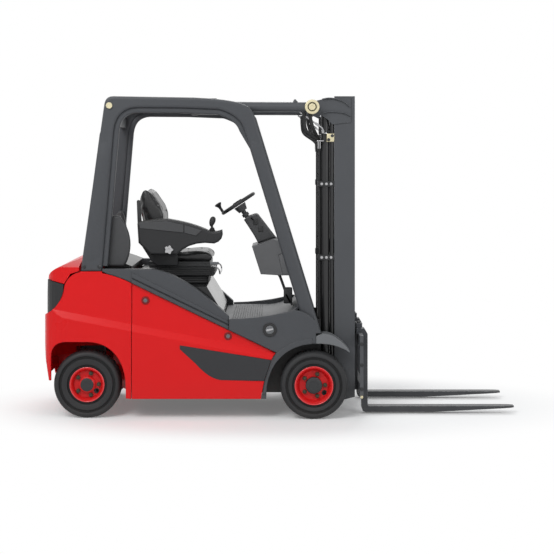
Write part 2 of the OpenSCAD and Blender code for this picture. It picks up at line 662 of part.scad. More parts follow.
module rear_tyre_right() color(rubber) translate([rear_axle_x, 0, 0])
  tyre(-rear_wheel_y, rear_tyre_w, rear_rim_r);
module rear_tyre_left() color(rubber) translate([rear_axle_x, 0, 0])
  tyre(rear_wheel_y, rear_tyre_w, rear_rim_r);
module rear_rim_right() color(red) translate([rear_axle_x, 0, 0])
  rim(-rear_wheel_y, rear_tyre_w, rear_rim_r, rear_hub_y, -1);
module rear_rim_left() color(red) translate([rear_axle_x, 0, 0])
  rim(rear_wheel_y, rear_tyre_w, rear_rim_r, rear_hub_y, 1);

// Driver's place

hood_rear_x = split_x + 4;
hood_hinge_r = 10;
hood_rear_z = 962;
hood_front_x = sill_rear[0] - 44;
hood_t = 22;
hood_top = 876;
hood_w = 2 * rail_inner_y - 12;
function hood_foot(x) = [x, belt_z(x) - hood_seat_drop];
module hood() color(black) {
  difference() {
    slab(-hood_w / 2, hood_w / 2) polygon([
      hood_foot(hood_rear_x), [hood_rear_x, hood_rear_z], [split_x + 60, hood_rear_z],
      [split_x + 190, hood_top], [front_axle_x - 720, hood_top], [hood_front_x, 700], [hood_front_x, floor_z],
      hood_foot(hood_front_x - 60)]);
    slab(-hood_w / 2 + 16, hood_w / 2 - 16) polygon([
      [hood_rear_x - 1, 700], [hood_rear_x - 1, hood_rear_z - hood_t], [split_x + 52, hood_rear_z - hood_t],
      [split_x + 182, hood_top - hood_t], [front_axle_x - 732, hood_top - hood_t], [hood_front_x - 22, 692],
      [hood_front_x - 22, 500], [hood_rear_x - 1, 500]]);
  }
  // Hinge barrels along the rear edge
  both_sides() rod_y(hood_rear_x, hood_rear_z, hood_hinge_r, -240, -150);
}

seat_x = front_axle_x - 900;
module seat_base() color(black) {
  box([seat_x - 120, -190, hood_top], [seat_x + 170, 190, 930]);
  box([seat_x - 170, -215, 929], [seat_x + 215, 215, 985]);
  box([seat_x - 230, -205, 984], [seat_x + 190, 205, 1028]);
}
cushion_outline = concat(
  [[seat_x - 188, 1028 + run_gap], [seat_x - 186, 1102], [seat_x + 120, 1112]],
  bend([seat_x + 120, 1112], [seat_x + 222, 1116], [seat_x + 225, 1072], 5),
  bend([seat_x + 225, 1072], [seat_x + 222, 1030], [seat_x + 180, 1028 + run_gap], 4));
back_outline = concat(
  [[seat_x - 230, 1028 + run_gap], [seat_x - 312, 1420]],
  bend([seat_x - 312, 1420], [seat_x - 322, 1546], [seat_x - 262, 1540], 5),
  bend([seat_x - 262, 1540], [seat_x - 220, 1528], [seat_x - 132, 1380], 4),
  bend([seat_x - 132, 1380], [seat_x - 104, 1330], [seat_x - 150, 1190], 4),
  [[seat_x - 192, 1106], [seat_x - 194, 1028 + run_gap]]);
armrest_outline = concat(
  [[seat_x - 292, 1166], [seat_x - 300, 1296]],
  bend([seat_x - 300, 1296], [seat_x - 294, 1324], [seat_x - 95, 1330], 4),
  bend([seat_x - 95, 1330], [seat_x + 60, 1306], [seat_x + 160, 1262], 4),
  bend([seat_x + 160, 1262], [seat_x + 212, 1228], [seat_x + 278, 1254], 4),
  bend([seat_x + 278, 1254], [seat_x + 296, 1180], [seat_x + 225, 1160], 4),
  bend([seat_x + 225, 1160], [seat_x + 60, 1184], [seat_x - 30, 1082], 5),
  [[seat_x - 210, 1084]]);
armrest_w = 100;
lever_x = seat_x + 208;
module seat_cushion() color(black) soft_slab(cushion_outline, -seat_w / 2, seat_w / 2, 14);
module seat_back() color(black) soft_slab(back_outline, -seat_w / 2, seat_w / 2, 12);
module armrest() color(black) {
  soft_slab(armrest_outline, -seat_w / 2 - armrest_w, -seat_w / 2 - run_gap, 14);
  translate([lever_x, -seat_w / 2 - armrest_w / 2, 1230]) {
    cylinder(r = 8, h = 78);
    translate([0, 0, 84]) sphere(r = 15);
  }
}

wheel_tilt = 33;
wheel_centre = [front_axle_x - 520, 0, 1423];
module steering_wheel() color(black) translate(wheel_centre) rotate([0, -wheel_tilt, 0]) {
  rotate_extrude($fn = 72) translate([steering_wheel_r - 12, 0]) circle(r = 12, $fn = 24);
  cylinder(r = 40, h = 24, center = true);
  for (a = [0, 120, 240]) rotate([0, 0, a]) translate([20, -12, -6]) cube([steering_wheel_r - 32, 24, 12]);
  translate([-steering_wheel_r + 14, 0, 0]) cylinder(r = 10, h = 50);
}

column_r = 30;
column_len = 420;
column_top = 118;
boss_h = 46;
boss_top = 17;
housing_half_w = 62;
housing_outline = [
  [front_axle_x - 380, 1147], [front_axle_x - 470, 1316], [front_axle_x - 462, 1332],
  [front_axle_x - 396, 1354], [front_axle_x - 380, 1348], [front_axle_x - 250, 1180],
  [front_axle_x - 268, 1184]];
module steering_column() color(black) {
  translate(wheel_centre) rotate([0, -wheel_tilt, 0]) {
    // Boss under the wheel, neck with its universal joint, and the column
    translate([0, 0, -boss_top - boss_h]) cylinder(r1 = 32, r2 = 46, h = boss_h);
    translate([0, 0, -column_top - 2]) cylinder(r = 17, h = column_top - boss_top - boss_h + 3);
    translate([0, 0, -column_top + 12]) cylinder(r = 25, h = 22);
    translate([0, 0, -column_len]) cylinder(r = column_r, h = column_len - column_top);
  }
  soft_slab(housing_outline, -housing_half_w, housing_half_w, 10);
}

dash_half_w = 190;
module dash_panel() color(mid_grey) difference() {
  slab(-dash_half_w, dash_half_w) polygon([
    [front_axle_x - 420, 1131], [front_axle_x - 268, 1181], [front_axle_x - 190, 1160],
    [front_axle_x - 150, 1120], [front_axle_x - 60, floor_z + 132], [front_axle_x - 68, floor_z + 122],
    [front_axle_x - 98, 820], [front_axle_x - 186, 1096], [front_axle_x - 236, 1072],
    [front_axle_x - 205, 930], [front_axle_x - 359, 939]]);
  translate(wheel_centre) rotate([0, -wheel_tilt, 0]) translate([0, 0, -column_len - 20])
    cylinder(r = column_r + run_gap, h = column_len);
}

pedal_top = [front_axle_x - 190, 797];
pedal_foot = [front_axle_x - 148, 722];
pedal_hang = [front_axle_x - 238, 930];
module pedals() color(black) for (y = [-150, -40, 120]) {
  slab(y - 35, y + 35) polygon([pedal_top, pedal_top + [10, 6], pedal_foot + [10, 6], pedal_foot]);
  slab(y - 6, y + 6) polygon([pedal_hang, pedal_hang + [12, 0], pedal_top + [16, -12], pedal_top + [4, -12]]);
}

cap_r = 46;
module body_caps() color(black) both_sides() {
  rod_y(front_axle_x - 295, 598, cap_r, -half_w - 10, -half_w);
  for (p = lock_at) rod_y(p[0], p[1], lock_r, -half_w + 20, -panel_inner_y - 12);
}

// Mast

upright_front = fork_face_x - 88;
upright_rear = upright_front - upright_depth;
web_t = 15;
flange_t = 18;
flange_in = 60;
mast_bottom = 90;
foot_rise = 28;
inner_gap = 6;
inner_rear = upright_rear + flange_t + inner_gap;
inner_front = upright_front - flange_t - inner_gap;
inner_half = mast_half - web_t - 11;
inner_web_t = 14;
inner_flange_t = 16;
inner_flange_in = 74;
inner_bottom = 120;
inner_top = mast_height - 12;

bridge_z = mast_height - 72;
module channel(x0, x1, half, web, flange, reach, z0, z1) translate([0, 0, z0]) linear_extrude(z1 - z0)
  polygon([[x0, -half], [x1, -half], [x1, -half + reach], [x1 - flange, -half + reach],
           [x1 - flange, -half + web], [x0 + flange, -half + web], [x0 + flange, -half + reach],
           [x0, -half + reach]]);

module mast_outer() color(dark_grey) {
  both_sides() {
    difference() {
      channel(upright_rear, upright_front, mast_half, web_t, flange_t, flange_in, mast_bottom, mast_height);
      // The rear flange ends below the bridge that lifts the inner mast
      box([upright_rear - 1, -mast_half + web_t, bridge_z - 12],
          [upright_rear + flange_t + 1, -mast_half + flange_in + 1, mast_height + 1]);
      // Feet cut back in front
      slab(-mast_half - 1, -mast_half + flange_in + 1) polygon([[upright_rear + 24, mast_bottom - 1],
        [upright_front + 1, mast_bottom + foot_rise], [upright_front + 1, mast_bottom - 1]]);
    }
    // Lug on the trunnion
    difference() {
      slab(-pivot_lug_y - pivot_lug_w / 2, -pivot_lug_y + pivot_lug_w / 2) polygon(concat(
        [[upright_rear + 1, mast_pivot[1] + 90], [upright_rear + 1, mast_pivot[1] - 90]],
        [for (p = arc(mast_pivot, lug_r, 270, 90, 12)) p]));
      rod_y(mast_pivot[0], mast_pivot[1], mast_pin_r + run_gap, -pivot_lug_y - 40, -pivot_lug_y + 40);
    }
    box([upright_rear - 1, -mast_half + flange_in - 1, mast_pivot[1] - 90],
        [upright_rear + flange_t, -pivot_lug_y + pivot_lug_w / 2, mast_pivot[1] + 90]);
  }
  // Cross members behind the uprights
  for (z = [mast_bottom + 4, 1100, mast_height - 190])
    box([upright_rear - 26, -mast_half + 20, z], [upright_rear, mast_half - 20, z + 90]);
}

tilt_pin = [front_axle_x - 9, guard_height - 69];
tilt_pin_r = 18;
head_t = 7;
module mast_heads() color(dark_grey) both_sides() {
  slab(-mast_half - head_t, -mast_half) polygon(concat(
    [[tilt_pin[0] - 22, tilt_pin[1] - 24], [tilt_pin[0] - 22, tilt_pin[1] + 30]],
    bend([tilt_pin[0] - 22, tilt_pin[1] + 30], [upright_rear - 80, mast_height - 16],
         [upright_rear - 20, mast_height - 13], 4),
    [[upright_front - 26, mast_height - 13], [upright_front - 26, mast_height - 178],
     [upright_rear - 14, mast_height - 192]],
    bend([upright_rear - 14, mast_height - 192], [upright_rear - 60, mast_height - 130],
         [tilt_pin[0] - 22, tilt_pin[1] - 24], 4)));
  rod_y(tilt_pin[0], tilt_pin[1], 28, -tilt_y + 24, -mast_half);
}

// Plated pins that carry the tilt cylinders, with their round caps
pin_cap_r = 48;
module tilt_pins() color(zinc) both_sides() {
  rod_y(tilt_pin[0], tilt_pin[1], tilt_pin_r, -tilt_y - tilt_barrel_r - 7, -tilt_y + 24);
  rod_y(tilt_pin[0], tilt_pin[1], pin_cap_r, -tilt_y - tilt_barrel_r - 11, -tilt_y - tilt_barrel_r - 2);
}

lift_x = upright_rear - 26 - lift_barrel_r - 4;
lift_y = mast_half - lift_barrel_r - 4;
lift_bottom = mast_pivot[1] + 104;
gland_top = mast_height - 253;
lift_top = gland_top - 59;
module lift_barrels() color(black) both_sides() difference() {
  translate([lift_x, -lift_y, lift_bottom]) cylinder(r = lift_barrel_r, h = lift_top - lift_bottom);
  translate([lift_x, -lift_y, lift_bottom + 30]) cylinder(r = lift_rod_r + run_gap, h = lift_top);
}

module lift_glands() color(zinc) both_sides() difference() {
  translate([lift_x, -lift_y, lift_top]) cylinder(r = lift_barrel_r, h = gland_top - lift_top);
  translate([lift_x, -lift_y, lift_top - 1]) cylinder(r = lift_rod_r + run_gap, h = 100);
}

lift_stroke = 1500;
module lift_rods() color(steel) both_sides()
  translate([lift_x, -lift_y, lift_bottom + 40]) cylinder(r = lift_rod_r, h = bridge_z - lift_bottom - 40);

// Hoses up the back of the lift cylinders, and on from there to the tilt cylinders
hose_r = 7;
hose_x = lift_x - lift_barrel_r - hose_r - 1;
hose_split_z = mast_height - 375;
hose_offsets = [-9, 9];
port_x = tilt_pin[0] - 62;
port_z = tilt_pin[1] - tilt_barrel_r - 0.8;
// A cubic curve of n steps from a to d, drawn towards b and c
function curve(a, b, c, d, n = 12) = [for (i = [0:n]) let (t = i / n, u = 1 - t)
  u * u * u * a + 3 * u * u * t * b + 3 * u * t * t * c + t * t * t * d];

module mast_hoses() color(black) both_sides() for (o = hose_offsets)
  hose([[hose_x, -lift_y + o, lift_bottom + 70], [hose_x, -lift_y + o, hose_split_z]], hose_r);

hose_joint = 1.5;
module tilt_hoses() color(black) both_sides() for (o = hose_offsets) {
  end_x = port_x + 2.2 * o;
  start = [hose_x, -lift_y + o, hose_split_z + hose_joint];
  hose(curve(start, start + [0, 0, 150], [end_x + 10, -tilt_y + 6, port_z - 130],
             [end_x, -tilt_y, port_z]), hose_r);
}

clamp_at = [1067, 1568];
clamp_h = 38;
module hose_clamps() color(mid_grey) both_sides() for (z = clamp_at) difference() {
  box([hose_x - hose_r - 5, -mast_half + 1, z - clamp_h / 2],
      [upright_rear, -lift_y + lift_barrel_r + 5, z + clamp_h / 2]);
  translate([lift_x, -lift_y, 0]) cylinder(r = lift_barrel_r + run_gap, h = mast_height);
  for (o = hose_offsets) translate([hose_x, -lift_y + o, 0]) cylinder(r = hose_r + run_gap, h = mast_height);
  box([hose_x, -lift_y - hose_r, 0], [lift_x, -lift_y + hose_r, mast_height]);
}

module mast_inner() color(dark_grey) {
  both_sides()
    channel(inner_rear, inner_front, inner_half, inner_web_t, inner_flange_t, inner_flange_in,
            inner_bottom, inner_top);
  for (z = [[inner_bottom, inner_bottom + 90], [inner_top - 60, inner_top]])
    box([inner_rear + 4, -inner_half + inner_flange_in - 2, z[0]],
        [inner_rear + 14, inner_half - inner_flange_in + 2, z[1]]);
  // Bridge from the inner uprights back to the lift rods
  both_sides()
    box([lift_x - 30, -mast_half + web_t + 6, bridge_z], [inner_rear + 9, -lift_y + 40, bridge_z + 30]);
}

pulley_r = 55;
pulley_x = inner_rear + 46;
pulley_z = inner_top - 130;
chain_y = 155;
chain_w = 24;
chain_t = 16;
module chain_pulleys() color(steel) both_sides() {
  rod_y(pulley_x, pulley_z, pulley_r - chain_t / 2, -chain_y - chain_w / 2, -chain_y + chain_w / 2);
  rod_y(pulley_x, pulley_z, 12, -chain_y - chain_w / 2 - 9, -chain_y + chain_w / 2 + 9);
  for (y = [-chain_y - chain_w / 2 - 9, -chain_y + chain_w / 2 + 3])
    box([inner_rear + 14, y, pulley_z - 20], [pulley_x + 20, y + 6, inner_top - 20]);
}

module chains_rear() color(black) both_sides() {
  box([upright_rear, -chain_y - chain_w / 2, 1150],
      [pulley_x - pulley_r + chain_t / 2, -chain_y + chain_w / 2, 1181]);
  box([pulley_x - pulley_r - chain_t / 2, -chain_y - chain_w / 2, 1180],
      [pulley_x - pulley_r + chain_t / 2, -chain_y + chain_w / 2, pulley_z]);
}

bar_front = fork_face_x - fork_t - run_gap;
bar_t = 24;
bar_bottom = 149;
bar_top = bar_bottom + carriage_h;
module chains_front() color(black) both_sides()
  box([pulley_x + pulley_r - chain_t / 2, -chain_y - chain_w / 2, 420],
      [pulley_x + pulley_r + chain_t / 2, -chain_y + chain_w / 2, pulley_z]);

plate_y = inner_half - inner_flange_in - 7;
plate_t = 22;
roller_r = (inner_front - inner_rear) / 2 - inner_flange_t - 5.5;
notch_n = 4;
notch_pitch = 110;
module carriage() color(dark_grey) {
  difference() {
    box([bar_front - bar_t, -carriage_w / 2, bar_top - 80], [bar_front, carriage_w / 2, bar_top]);
    // Notches for the fork latches
    for (i = [-notch_n:notch_n])
      box([bar_front - bar_t - 1, i * notch_pitch - 8, bar_top - 9],
          [bar_front + 1, i * notch_pitch + 8, bar_top + 1]);
  }
  box([bar_front - bar_t, -carriage_w / 2, bar_bottom], [bar_front, carriage_w / 2, bar_bottom + 75]);
  both_sides() {
    box([bar_front - bar_t, -carriage_w / 2, bar_bottom], [bar_front, -carriage_w / 2 + 16, bar_top]);
    box([inner_rear + 30, -plate_y, bar_bottom], [bar_front - bar_t + 1, -plate_y + plate_t, bar_top + 60]);
    for (z = [bar_bottom + 50, bar_top + 14])
      rod_y((inner_front + inner_rear) / 2, z, roller_r, -inner_half + inner_web_t + 6, -plate_y + 1);
    box([pulley_x + pulley_r - chain_t / 2, -chain_y - 24, 380], [bar_front - bar_t + 1, -chain_y + 24, 420]);
    box([bar_front - bar_t - 14, -chain_y - 24, bar_bottom], [bar_front - bar_t + 1, -chain_y + 24, bar_top]);
  }
}

blade_bottom = fork_ground;
hook_lip = 12;
latch_h = 34;
fork_tip_w = 46;
module fork() {
  hook_x = bar_front - bar_t - run_gap;
  difference() {
    slab(-fork_y - fork_w / 2, -fork_y + fork_w / 2) polygon(concat(
      [[fork_face_x - fork_t + 22, blade_bottom], [fork_face_x - fork_t + 6, blade_bottom + 8],
       [fork_face_x - fork_t, blade_bottom + 26], [fork_face_x - fork_t, bar_bottom - 30],
       [hook_x, bar_bottom - 24], [hook_x, bar_bottom - run_gap], [fork_face_x - fork_t, bar_bottom - run_gap],
       [fork_face_x - fork_t, bar_top + run_gap], [hook_x, bar_top + run_gap], [hook_x, bar_top - 14],
       [hook_x - hook_lip, bar_top - 14], [hook_x - hook_lip, bar_top + 26], [fork_face_x - 22, bar_top + 26],
       [fork_face_x, bar_top - 12]],
      [for (a = [0:3]) [fork_face_x, blade_bottom + fork_t] + [14, 14] - 14 * [cos(a * 30), sin(a * 30)]],
      [[fork_face_x + fork_length, blade_bottom + fork_t],
       [fork_face_x + fork_length, blade_bottom + fork_t - 12],
       [fork_face_x + fork_length * 0.45, blade_bottom]]));
    // The blade narrows to its tip
    for (m = [0, 1]) translate([0, -fork_y, 0]) mirror([0, m, 0])
      translate([fork_face_x + fork_length, fork_tip_w / 2, 0]) linear_extrude(100)
        polygon([[1, 0], [1, 60], [-90, 60], [-90, fork_w / 2 - fork_tip_w / 2], [-30, 12], [-6, 2]]);
  }
  // Latch on the hook
  box([hook_x - hook_lip, -fork_y - 22, bar_top + 25], [hook_x + 26, -fork_y + 22, bar_top + 26 + latch_h]);
}
module fork_right() color(dark_grey) fork();
module fork_left() color(dark_grey) mirror([0, 1, 0]) fork();

// Tilt cylinders, from the mast heads back to the guard's rear corners

tilt_vec = guard_pin - tilt_pin;
tilt_len = norm(tilt_vec);
tilt_angle = atan2(tilt_vec[1], -tilt_vec[0]);
barrel_len = 830;
eye_r = 40;
eye_bore = guard_pin_r + 15.5;
rod_tip = 560;

module on_tilt_axis() translate([tilt_pin[0], -tilt_y, tilt_pin[1]]) rotate([0, tilt_angle, 0]) children();

barrel_start = 36;
module tilt_barrel() on_tilt_axis() difference() {
  union() {
    rotate([0, -90, 0]) translate([0, 0, barrel_start]) cylinder(r = tilt_barrel_r, h = barrel_len);
    // Gland at the rod's end and the two oil ports
    rotate([0, -90, 0]) translate([0, 0, barrel_start + barrel_len - 46])
      cylinder(r = tilt_barrel_r + 4, h = 40);
    for (x = [110, barrel_len - 60]) translate([-x, 0, 0]) cylinder(r = 13, h = tilt_barrel_r + 5);
    rod_y(0, 0, 42, -22, 22);
  }
  rod_y(0, 0, tilt_pin_r + run_gap, -30, 30);
  rotate([0, -90, 0]) translate([0, 0, 270]) cylinder(r = tilt_rod_r + run_gap, h = barrel_len);
}
module tilt_barrel_right() color(dark_grey) tilt_barrel();
module tilt_barrel_left() color(dark_grey) mirror([0, 1, 0]) tilt_barrel();

module tilt_rod() on_tilt_axis() difference() {
  union() {
    rotate([0, -90, 0]) translate([0, 0, rod_tip])
      cylinder(r = tilt_rod_r, h = tilt_len - rod_tip - eye_bore - 4);
    rod_y(-tilt_len, 0, eye_r, -15, 15);
  }
  rod_y(-tilt_len, 0, eye_bore, -30, 30);
}
module tilt_rod_right() color(steel) tilt_rod();
module tilt_rod_left() color(steel) mirror([0, 1, 0]) tilt_rod();

frame();
counterweight();
tail_cover();
rear_grille();
side_panel_right();
side_panel_left();
front_fender_right();
front_fender_left();
belt_rails();
floor_plate();
guard_frame();
guard_roof();
guard_pins();
pillar_covers();
side_inserts();
fender_tips();
engine_block();
front_axle();
rear_axle();
steering_column();
dash_panel();
pedals();
body_caps();
tow_pin();
hood();
seat_base();
seat_cushion();
seat_back();
armrest();
mast_outer();
mast_heads();
tilt_pins();
lift_barrels();
lift_glands();
hose_clamps();
mast_hoses();
tilt_hoses();
chains_rear();
mast_inner();
lift_rods();
chain_pulleys();
carriage();
chains_front();
fork_right();
fork_left();
tilt_barrel_right();
tilt_barrel_left();
tilt_rod_right();
tilt_rod_left();
front_tyre_right();
front_tyre_left();
front_rim_right();
front_rim_left();
knuckle_right();
knuckle_left();
rear_tyre_right();
rear_tyre_left();
rear_rim_right();
rear_rim_left();
steering_wheel();
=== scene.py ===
import json
import math

import bmesh
import bpy
import numpy as np
from mathutils import Matrix, Vector


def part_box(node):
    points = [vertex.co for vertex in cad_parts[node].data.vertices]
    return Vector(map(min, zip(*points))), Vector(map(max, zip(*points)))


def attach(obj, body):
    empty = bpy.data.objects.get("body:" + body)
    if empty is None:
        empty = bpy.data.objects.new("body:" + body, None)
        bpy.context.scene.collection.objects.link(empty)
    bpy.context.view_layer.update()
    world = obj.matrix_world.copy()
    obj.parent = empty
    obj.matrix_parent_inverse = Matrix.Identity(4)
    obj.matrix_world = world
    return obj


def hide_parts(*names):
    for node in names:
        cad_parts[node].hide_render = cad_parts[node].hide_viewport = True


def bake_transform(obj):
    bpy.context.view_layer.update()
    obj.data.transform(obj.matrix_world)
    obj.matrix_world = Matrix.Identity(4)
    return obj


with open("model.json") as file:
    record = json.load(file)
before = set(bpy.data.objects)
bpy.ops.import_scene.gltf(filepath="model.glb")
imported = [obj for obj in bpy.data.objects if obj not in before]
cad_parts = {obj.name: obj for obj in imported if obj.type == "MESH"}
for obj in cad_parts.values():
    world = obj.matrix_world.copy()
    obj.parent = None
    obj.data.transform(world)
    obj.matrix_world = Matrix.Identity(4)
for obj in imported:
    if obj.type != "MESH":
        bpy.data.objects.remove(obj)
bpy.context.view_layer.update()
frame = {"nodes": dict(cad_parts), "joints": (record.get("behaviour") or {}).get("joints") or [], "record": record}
NODE = frame["nodes"]

bl_info = {
    "name": "Forklift truck looks",
    "version": (1, 0, 0),
    "blender": (4, 5, 0),
    "location": "View3D > Sidebar > Forklift",
    "description": "Dresses the packed forklift truck with paint, rubber, upholstery, hoses and fittings",
    "category": "Object",
}


def mid(node):
    """Middle of a CAD node's box, in metres."""
    lo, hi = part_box(node)
    return (lo + hi) / 2


# Places that the pieces share, in metres
FRONT_WHEEL = mid("front_tyre_right")
REAR_WHEEL = mid("rear_tyre_right")
TYRE_R = FRONT_WHEEL.z
HALF_W = abs(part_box("side_panel_right")[0].y)
MAST_HALF = abs(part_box("mast_outer")[0].y)
SEAT_X = FRONT_WHEEL.x - 0.900
CLAMP_HEIGHTS = (1.067, 1.568)
SIDES = (("right", -1.0), ("left", 1.0))


# Sizes and colours that a user would change


def colour(label, text, value):
    """A colour that the panel shows."""
    return bpy.props.FloatVectorProperty(
        name=label, description=text, default=value, size=3, min=0.0, max=1.0, subtype="COLOR")


def length(label, text, value, low, high):
    """A length that the panel shows, in metres."""
    return bpy.props.FloatProperty(name=label, description=text, default=value, min=low, max=high,
                                   unit="LENGTH")


class ForkliftPaint(bpy.types.PropertyGroup):
    """Colours of the truck's finishes."""

    red: colour("Body red", "Counterweight, side panels and tail cover", (0.700, 0.0070, 0.0085))
    rim_red: colour("Wheel red", "Wheel discs and rims", (0.620, 0.0060, 0.0075))
    body_grey: colour("Body grey", "Guard, fenders and belt mouldings", (0.062, 0.066, 0.073))
    mast_grey: colour("Mast grey", "Mast, carriage and tilt cylinders", (0.070, 0.074, 0.081))
    tip_grey: colour("Light grey", "Fender tips and hose clamps", (0.150, 0.156, 0.164))
    black: colour("Black", "Moulded plastics and chassis", (0.018, 0.0185, 0.020))
    zinc: colour("Zinc yellow", "Plated pins and fittings", (0.720, 0.650, 0.430))
    rubber: colour("Rubber", "Tyres", (0.025, 0.0255, 0.027))


class ForkliftTrim(bpy.types.PropertyGroup):
    """Sizes of the fittings that the scene adds."""

    bolt_r: length("Bolt radius", "Across-corner radius of a bolt head", 0.0085, 0.004, 0.016)
    bolt_h: length("Bolt height", "Height of a bolt head over its washer", 0.006, 0.002, 0.012)
    chain_pitch: length("Chain pitch", "Distance between two chain pins", 0.0254, 0.012, 0.05)
    hose_pitch: length("Hose rib pitch", "Distance between two ribs of a hose guard", 0.008, 0.004, 0.02)
    hose_r: length("Hose radius", "Radius of a hose over its ribs", 0.0125, 0.006, 0.016)
    tread_depth: length("Tread depth", "Depth of the grooves in the tyres", 0.008, 0.0, 0.015)
    tread_lugs: bpy.props.IntProperty(
        name="Tread lugs", description="Lugs round a tyre", default=34, min=16, max=60)
    mat_rib: length("Mat rib pitch", "Distance between two ribs of the floor mat", 0.016, 0.008, 0.04)
    pad_cap: length("Pad swell", "Furthest that a seat pad swells from its cut", 0.012, 0.0, 0.03)


def paint():
    """The colours that the panel shows."""
    return bpy.context.scene.forklift_paint


def trim():
    """The sizes that the panel shows."""
    return bpy.context.scene.forklift_trim


# Mesh helpers


def mesh_of(name, verts, faces):
    """A mesh with like points merged and its faces turned outwards."""
    me = bpy.data.meshes.new(name)
    me.from_pydata([tuple(v) for v in verts], [], faces)
    bm = bmesh.new()
    bm.from_mesh(me)
    bmesh.ops.remove_doubles(bm, verts=bm.verts, dist=1e-6)
    bmesh.ops.recalc_face_normals(bm, faces=bm.faces)
    bm.to_mesh(me)
    bm.free()
    return me


def mesh_from(bm, name):
    """A mesh out of a bmesh, which is then dropped."""
    me = bpy.data.meshes.new(name)
    bm.to_mesh(me)
    bm.free()
    return me


def joined(name, meshes):
    """One mesh out of several, which are then dropped."""
    bm = bmesh.new()
    for me in meshes:
        bm.from_mesh(me)
        bpy.data.meshes.remove(me)
    return mesh_from(bm, name)


def piece(name, shape, body, look, angle=35, replaces=(), ride=True):
    """Puts a finished mesh, or several as one, on its body.
    The slot has the name of the look where no other is given."""
    me = joined(name, shape) if isinstance(shape, list) else shape
    me.name = name
    me.materials.clear()
    me.materials.append(FINISH[look])
    me.shade_smooth()
    me.set_sharp_from_angle(angle=math.radians(angle))
    ob = bpy.data.objects.new(name, me)
    bpy.context.scene.collection.objects.link(ob)
    if ride:
        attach(ob, body)
    if replaces:
        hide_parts(*replaces)
    return ob


def revolve(name, profile, centre, axis=(0, 1, 0), steps=48):
    """Turns a closed profile of (radius, height) about an axis through centre."""
    turn = Vector((0, 0, 1)).rotation_difference(Vector(axis).normalized()).to_matrix()
    n = len(profile)
    verts = []
    for s in range(steps):
        a = 2 * math.pi * s / steps
        for r, h in profile:
            verts.append(Vector(centre) + turn @ Vector((r * math.cos(a), r * math.sin(a), h)))
    faces = []
    for s in range(steps):
        for i in range(n):
            j = (i + 1) % n
            t = (s + 1) % steps
            faces.append((s * n + i, t * n + i, t * n + j, s * n + j))
    return mesh_of(name, verts, faces)


def loft(name, rings):
    """Joins rings of as many points each, and closes both ends."""
    n, last = len(rings[0]), len(rings) - 1
    faces = []
    for i in range(last):
        for k in range(n):
            m = (k + 1) % n
            faces.append((i * n + k, i * n + m, (i + 1) * n + m, (i + 1) * n + k))
    faces.append(tuple(range(n)))
    faces.append(tuple(range(last * n, (last + 1) * n)))
    return mesh_of(name, [p for ring in rings for p in ring], faces)


def sweep(name, path, radius, sides=12):
    """A round bar along points, closed at both ends. The radius may change from point to point."""
    pts = [Vector(p) for p in path]
    radii = radius if isinstance(radius, (list, tuple)) else [radius] * len(pts)
    last = len(pts) - 1
    tangents = [(pts[min(i + 1, last)] - pts[max(i - 1, 0)]).normalized() for i in range(last + 1)]
    u = tangents[0].orthogonal().normalized()
    rings = []
    for p, t, r in zip(pts, tangents, radii):
        u = (u - t * u.dot(t)).normalized()
        v = t.cross(u)
        turns = [2 * math.pi * k / sides for k in range(sides)]
        rings.append([p + r * (math.cos(a) * u + math.sin(a) * v) for a in turns])
    return loft(name, rings)


def smooth_path(points, n=8):
    """A path through points, rounded between them."""
    pts = [Vector(p) for p in points]
    out = []
    for i in range(len(pts) - 1):
        p0, p1, p2, p3 = pts[max(i - 1, 0)], pts[i], pts[i + 1], pts[min(i + 2, len(pts) - 1)]
        for k in range(n):
            t = k / n
            out.append(0.5 * (2 * p1 + (p2 - p0) * t + (2 * p0 - 5 * p1 + 4 * p2 - p3) * t * t
                              + (3 * p1 - p0 - 3 * p2 + p3) * t ** 3))
    out.append(pts[-1])
    return out


def block(name, lo, hi, round_by, steps=3, taper=None):
    """A box with rounded edges. taper(x, y, z) may move its corners."""
    bm = bmesh.new()
    bmesh.ops.create_cube(bm, size=1.0)
    lo, hi = Vector(lo), Vector(hi)
    for v in bm.verts:
        v.co = Vector([lo[i] + (v.co[i] + 0.5) * (hi[i] - lo[i]) for i in range(3)])
        if taper:
            v.co = Vector(taper(*v.co))
    bmesh.ops.bevel(bm, geom=bm.edges[:], offset=round_by, segments=steps, profile=0.5, affect="EDGES",
                    clamp_overlap=True)
    return mesh_from(bm, name)


def outline_slab(name, outline, y0, y1, round_by=0.0, steps=3):
    """A slab of an (x, z) outline between y0 and y1, with its long edges rounded."""
    bm = bmesh.new()
    base = [bm.verts.new((x, y0, z)) for x, z in outline]
    face = bm.faces.new(base)
    grown = bmesh.ops.extrude_face_region(bm, geom=[face])
    for v in (g for g in grown["geom"] if isinstance(g, bmesh.types.BMVert)):
        v.co.y = y1
    bmesh.ops.recalc_face_normals(bm, faces=bm.faces)
    if round_by:
        rim = [e for e in bm.edges if abs(e.verts[0].co.y - e.verts[1].co.y) < 1e-9]
        bmesh.ops.bevel(bm, geom=rim, offset=round_by, segments=steps, profile=0.5, affect="EDGES",
                        clamp_overlap=True)
    return mesh_from(bm, name)


# Node helpers


def add_node(tree, kind, inputs=None, **attrs):
    """Adds a node. Its inputs are values, or sockets to link from."""
    n = tree.nodes.new(kind)
    for key, value in attrs.items():
        setattr(n, key, value)
    for key, value in (inputs or {}).items():
        if isinstance(value, bpy.types.NodeSocket):
            tree.links.new(value, n.inputs[key])
        else:
            n.inputs[key].default_value = value
    return n


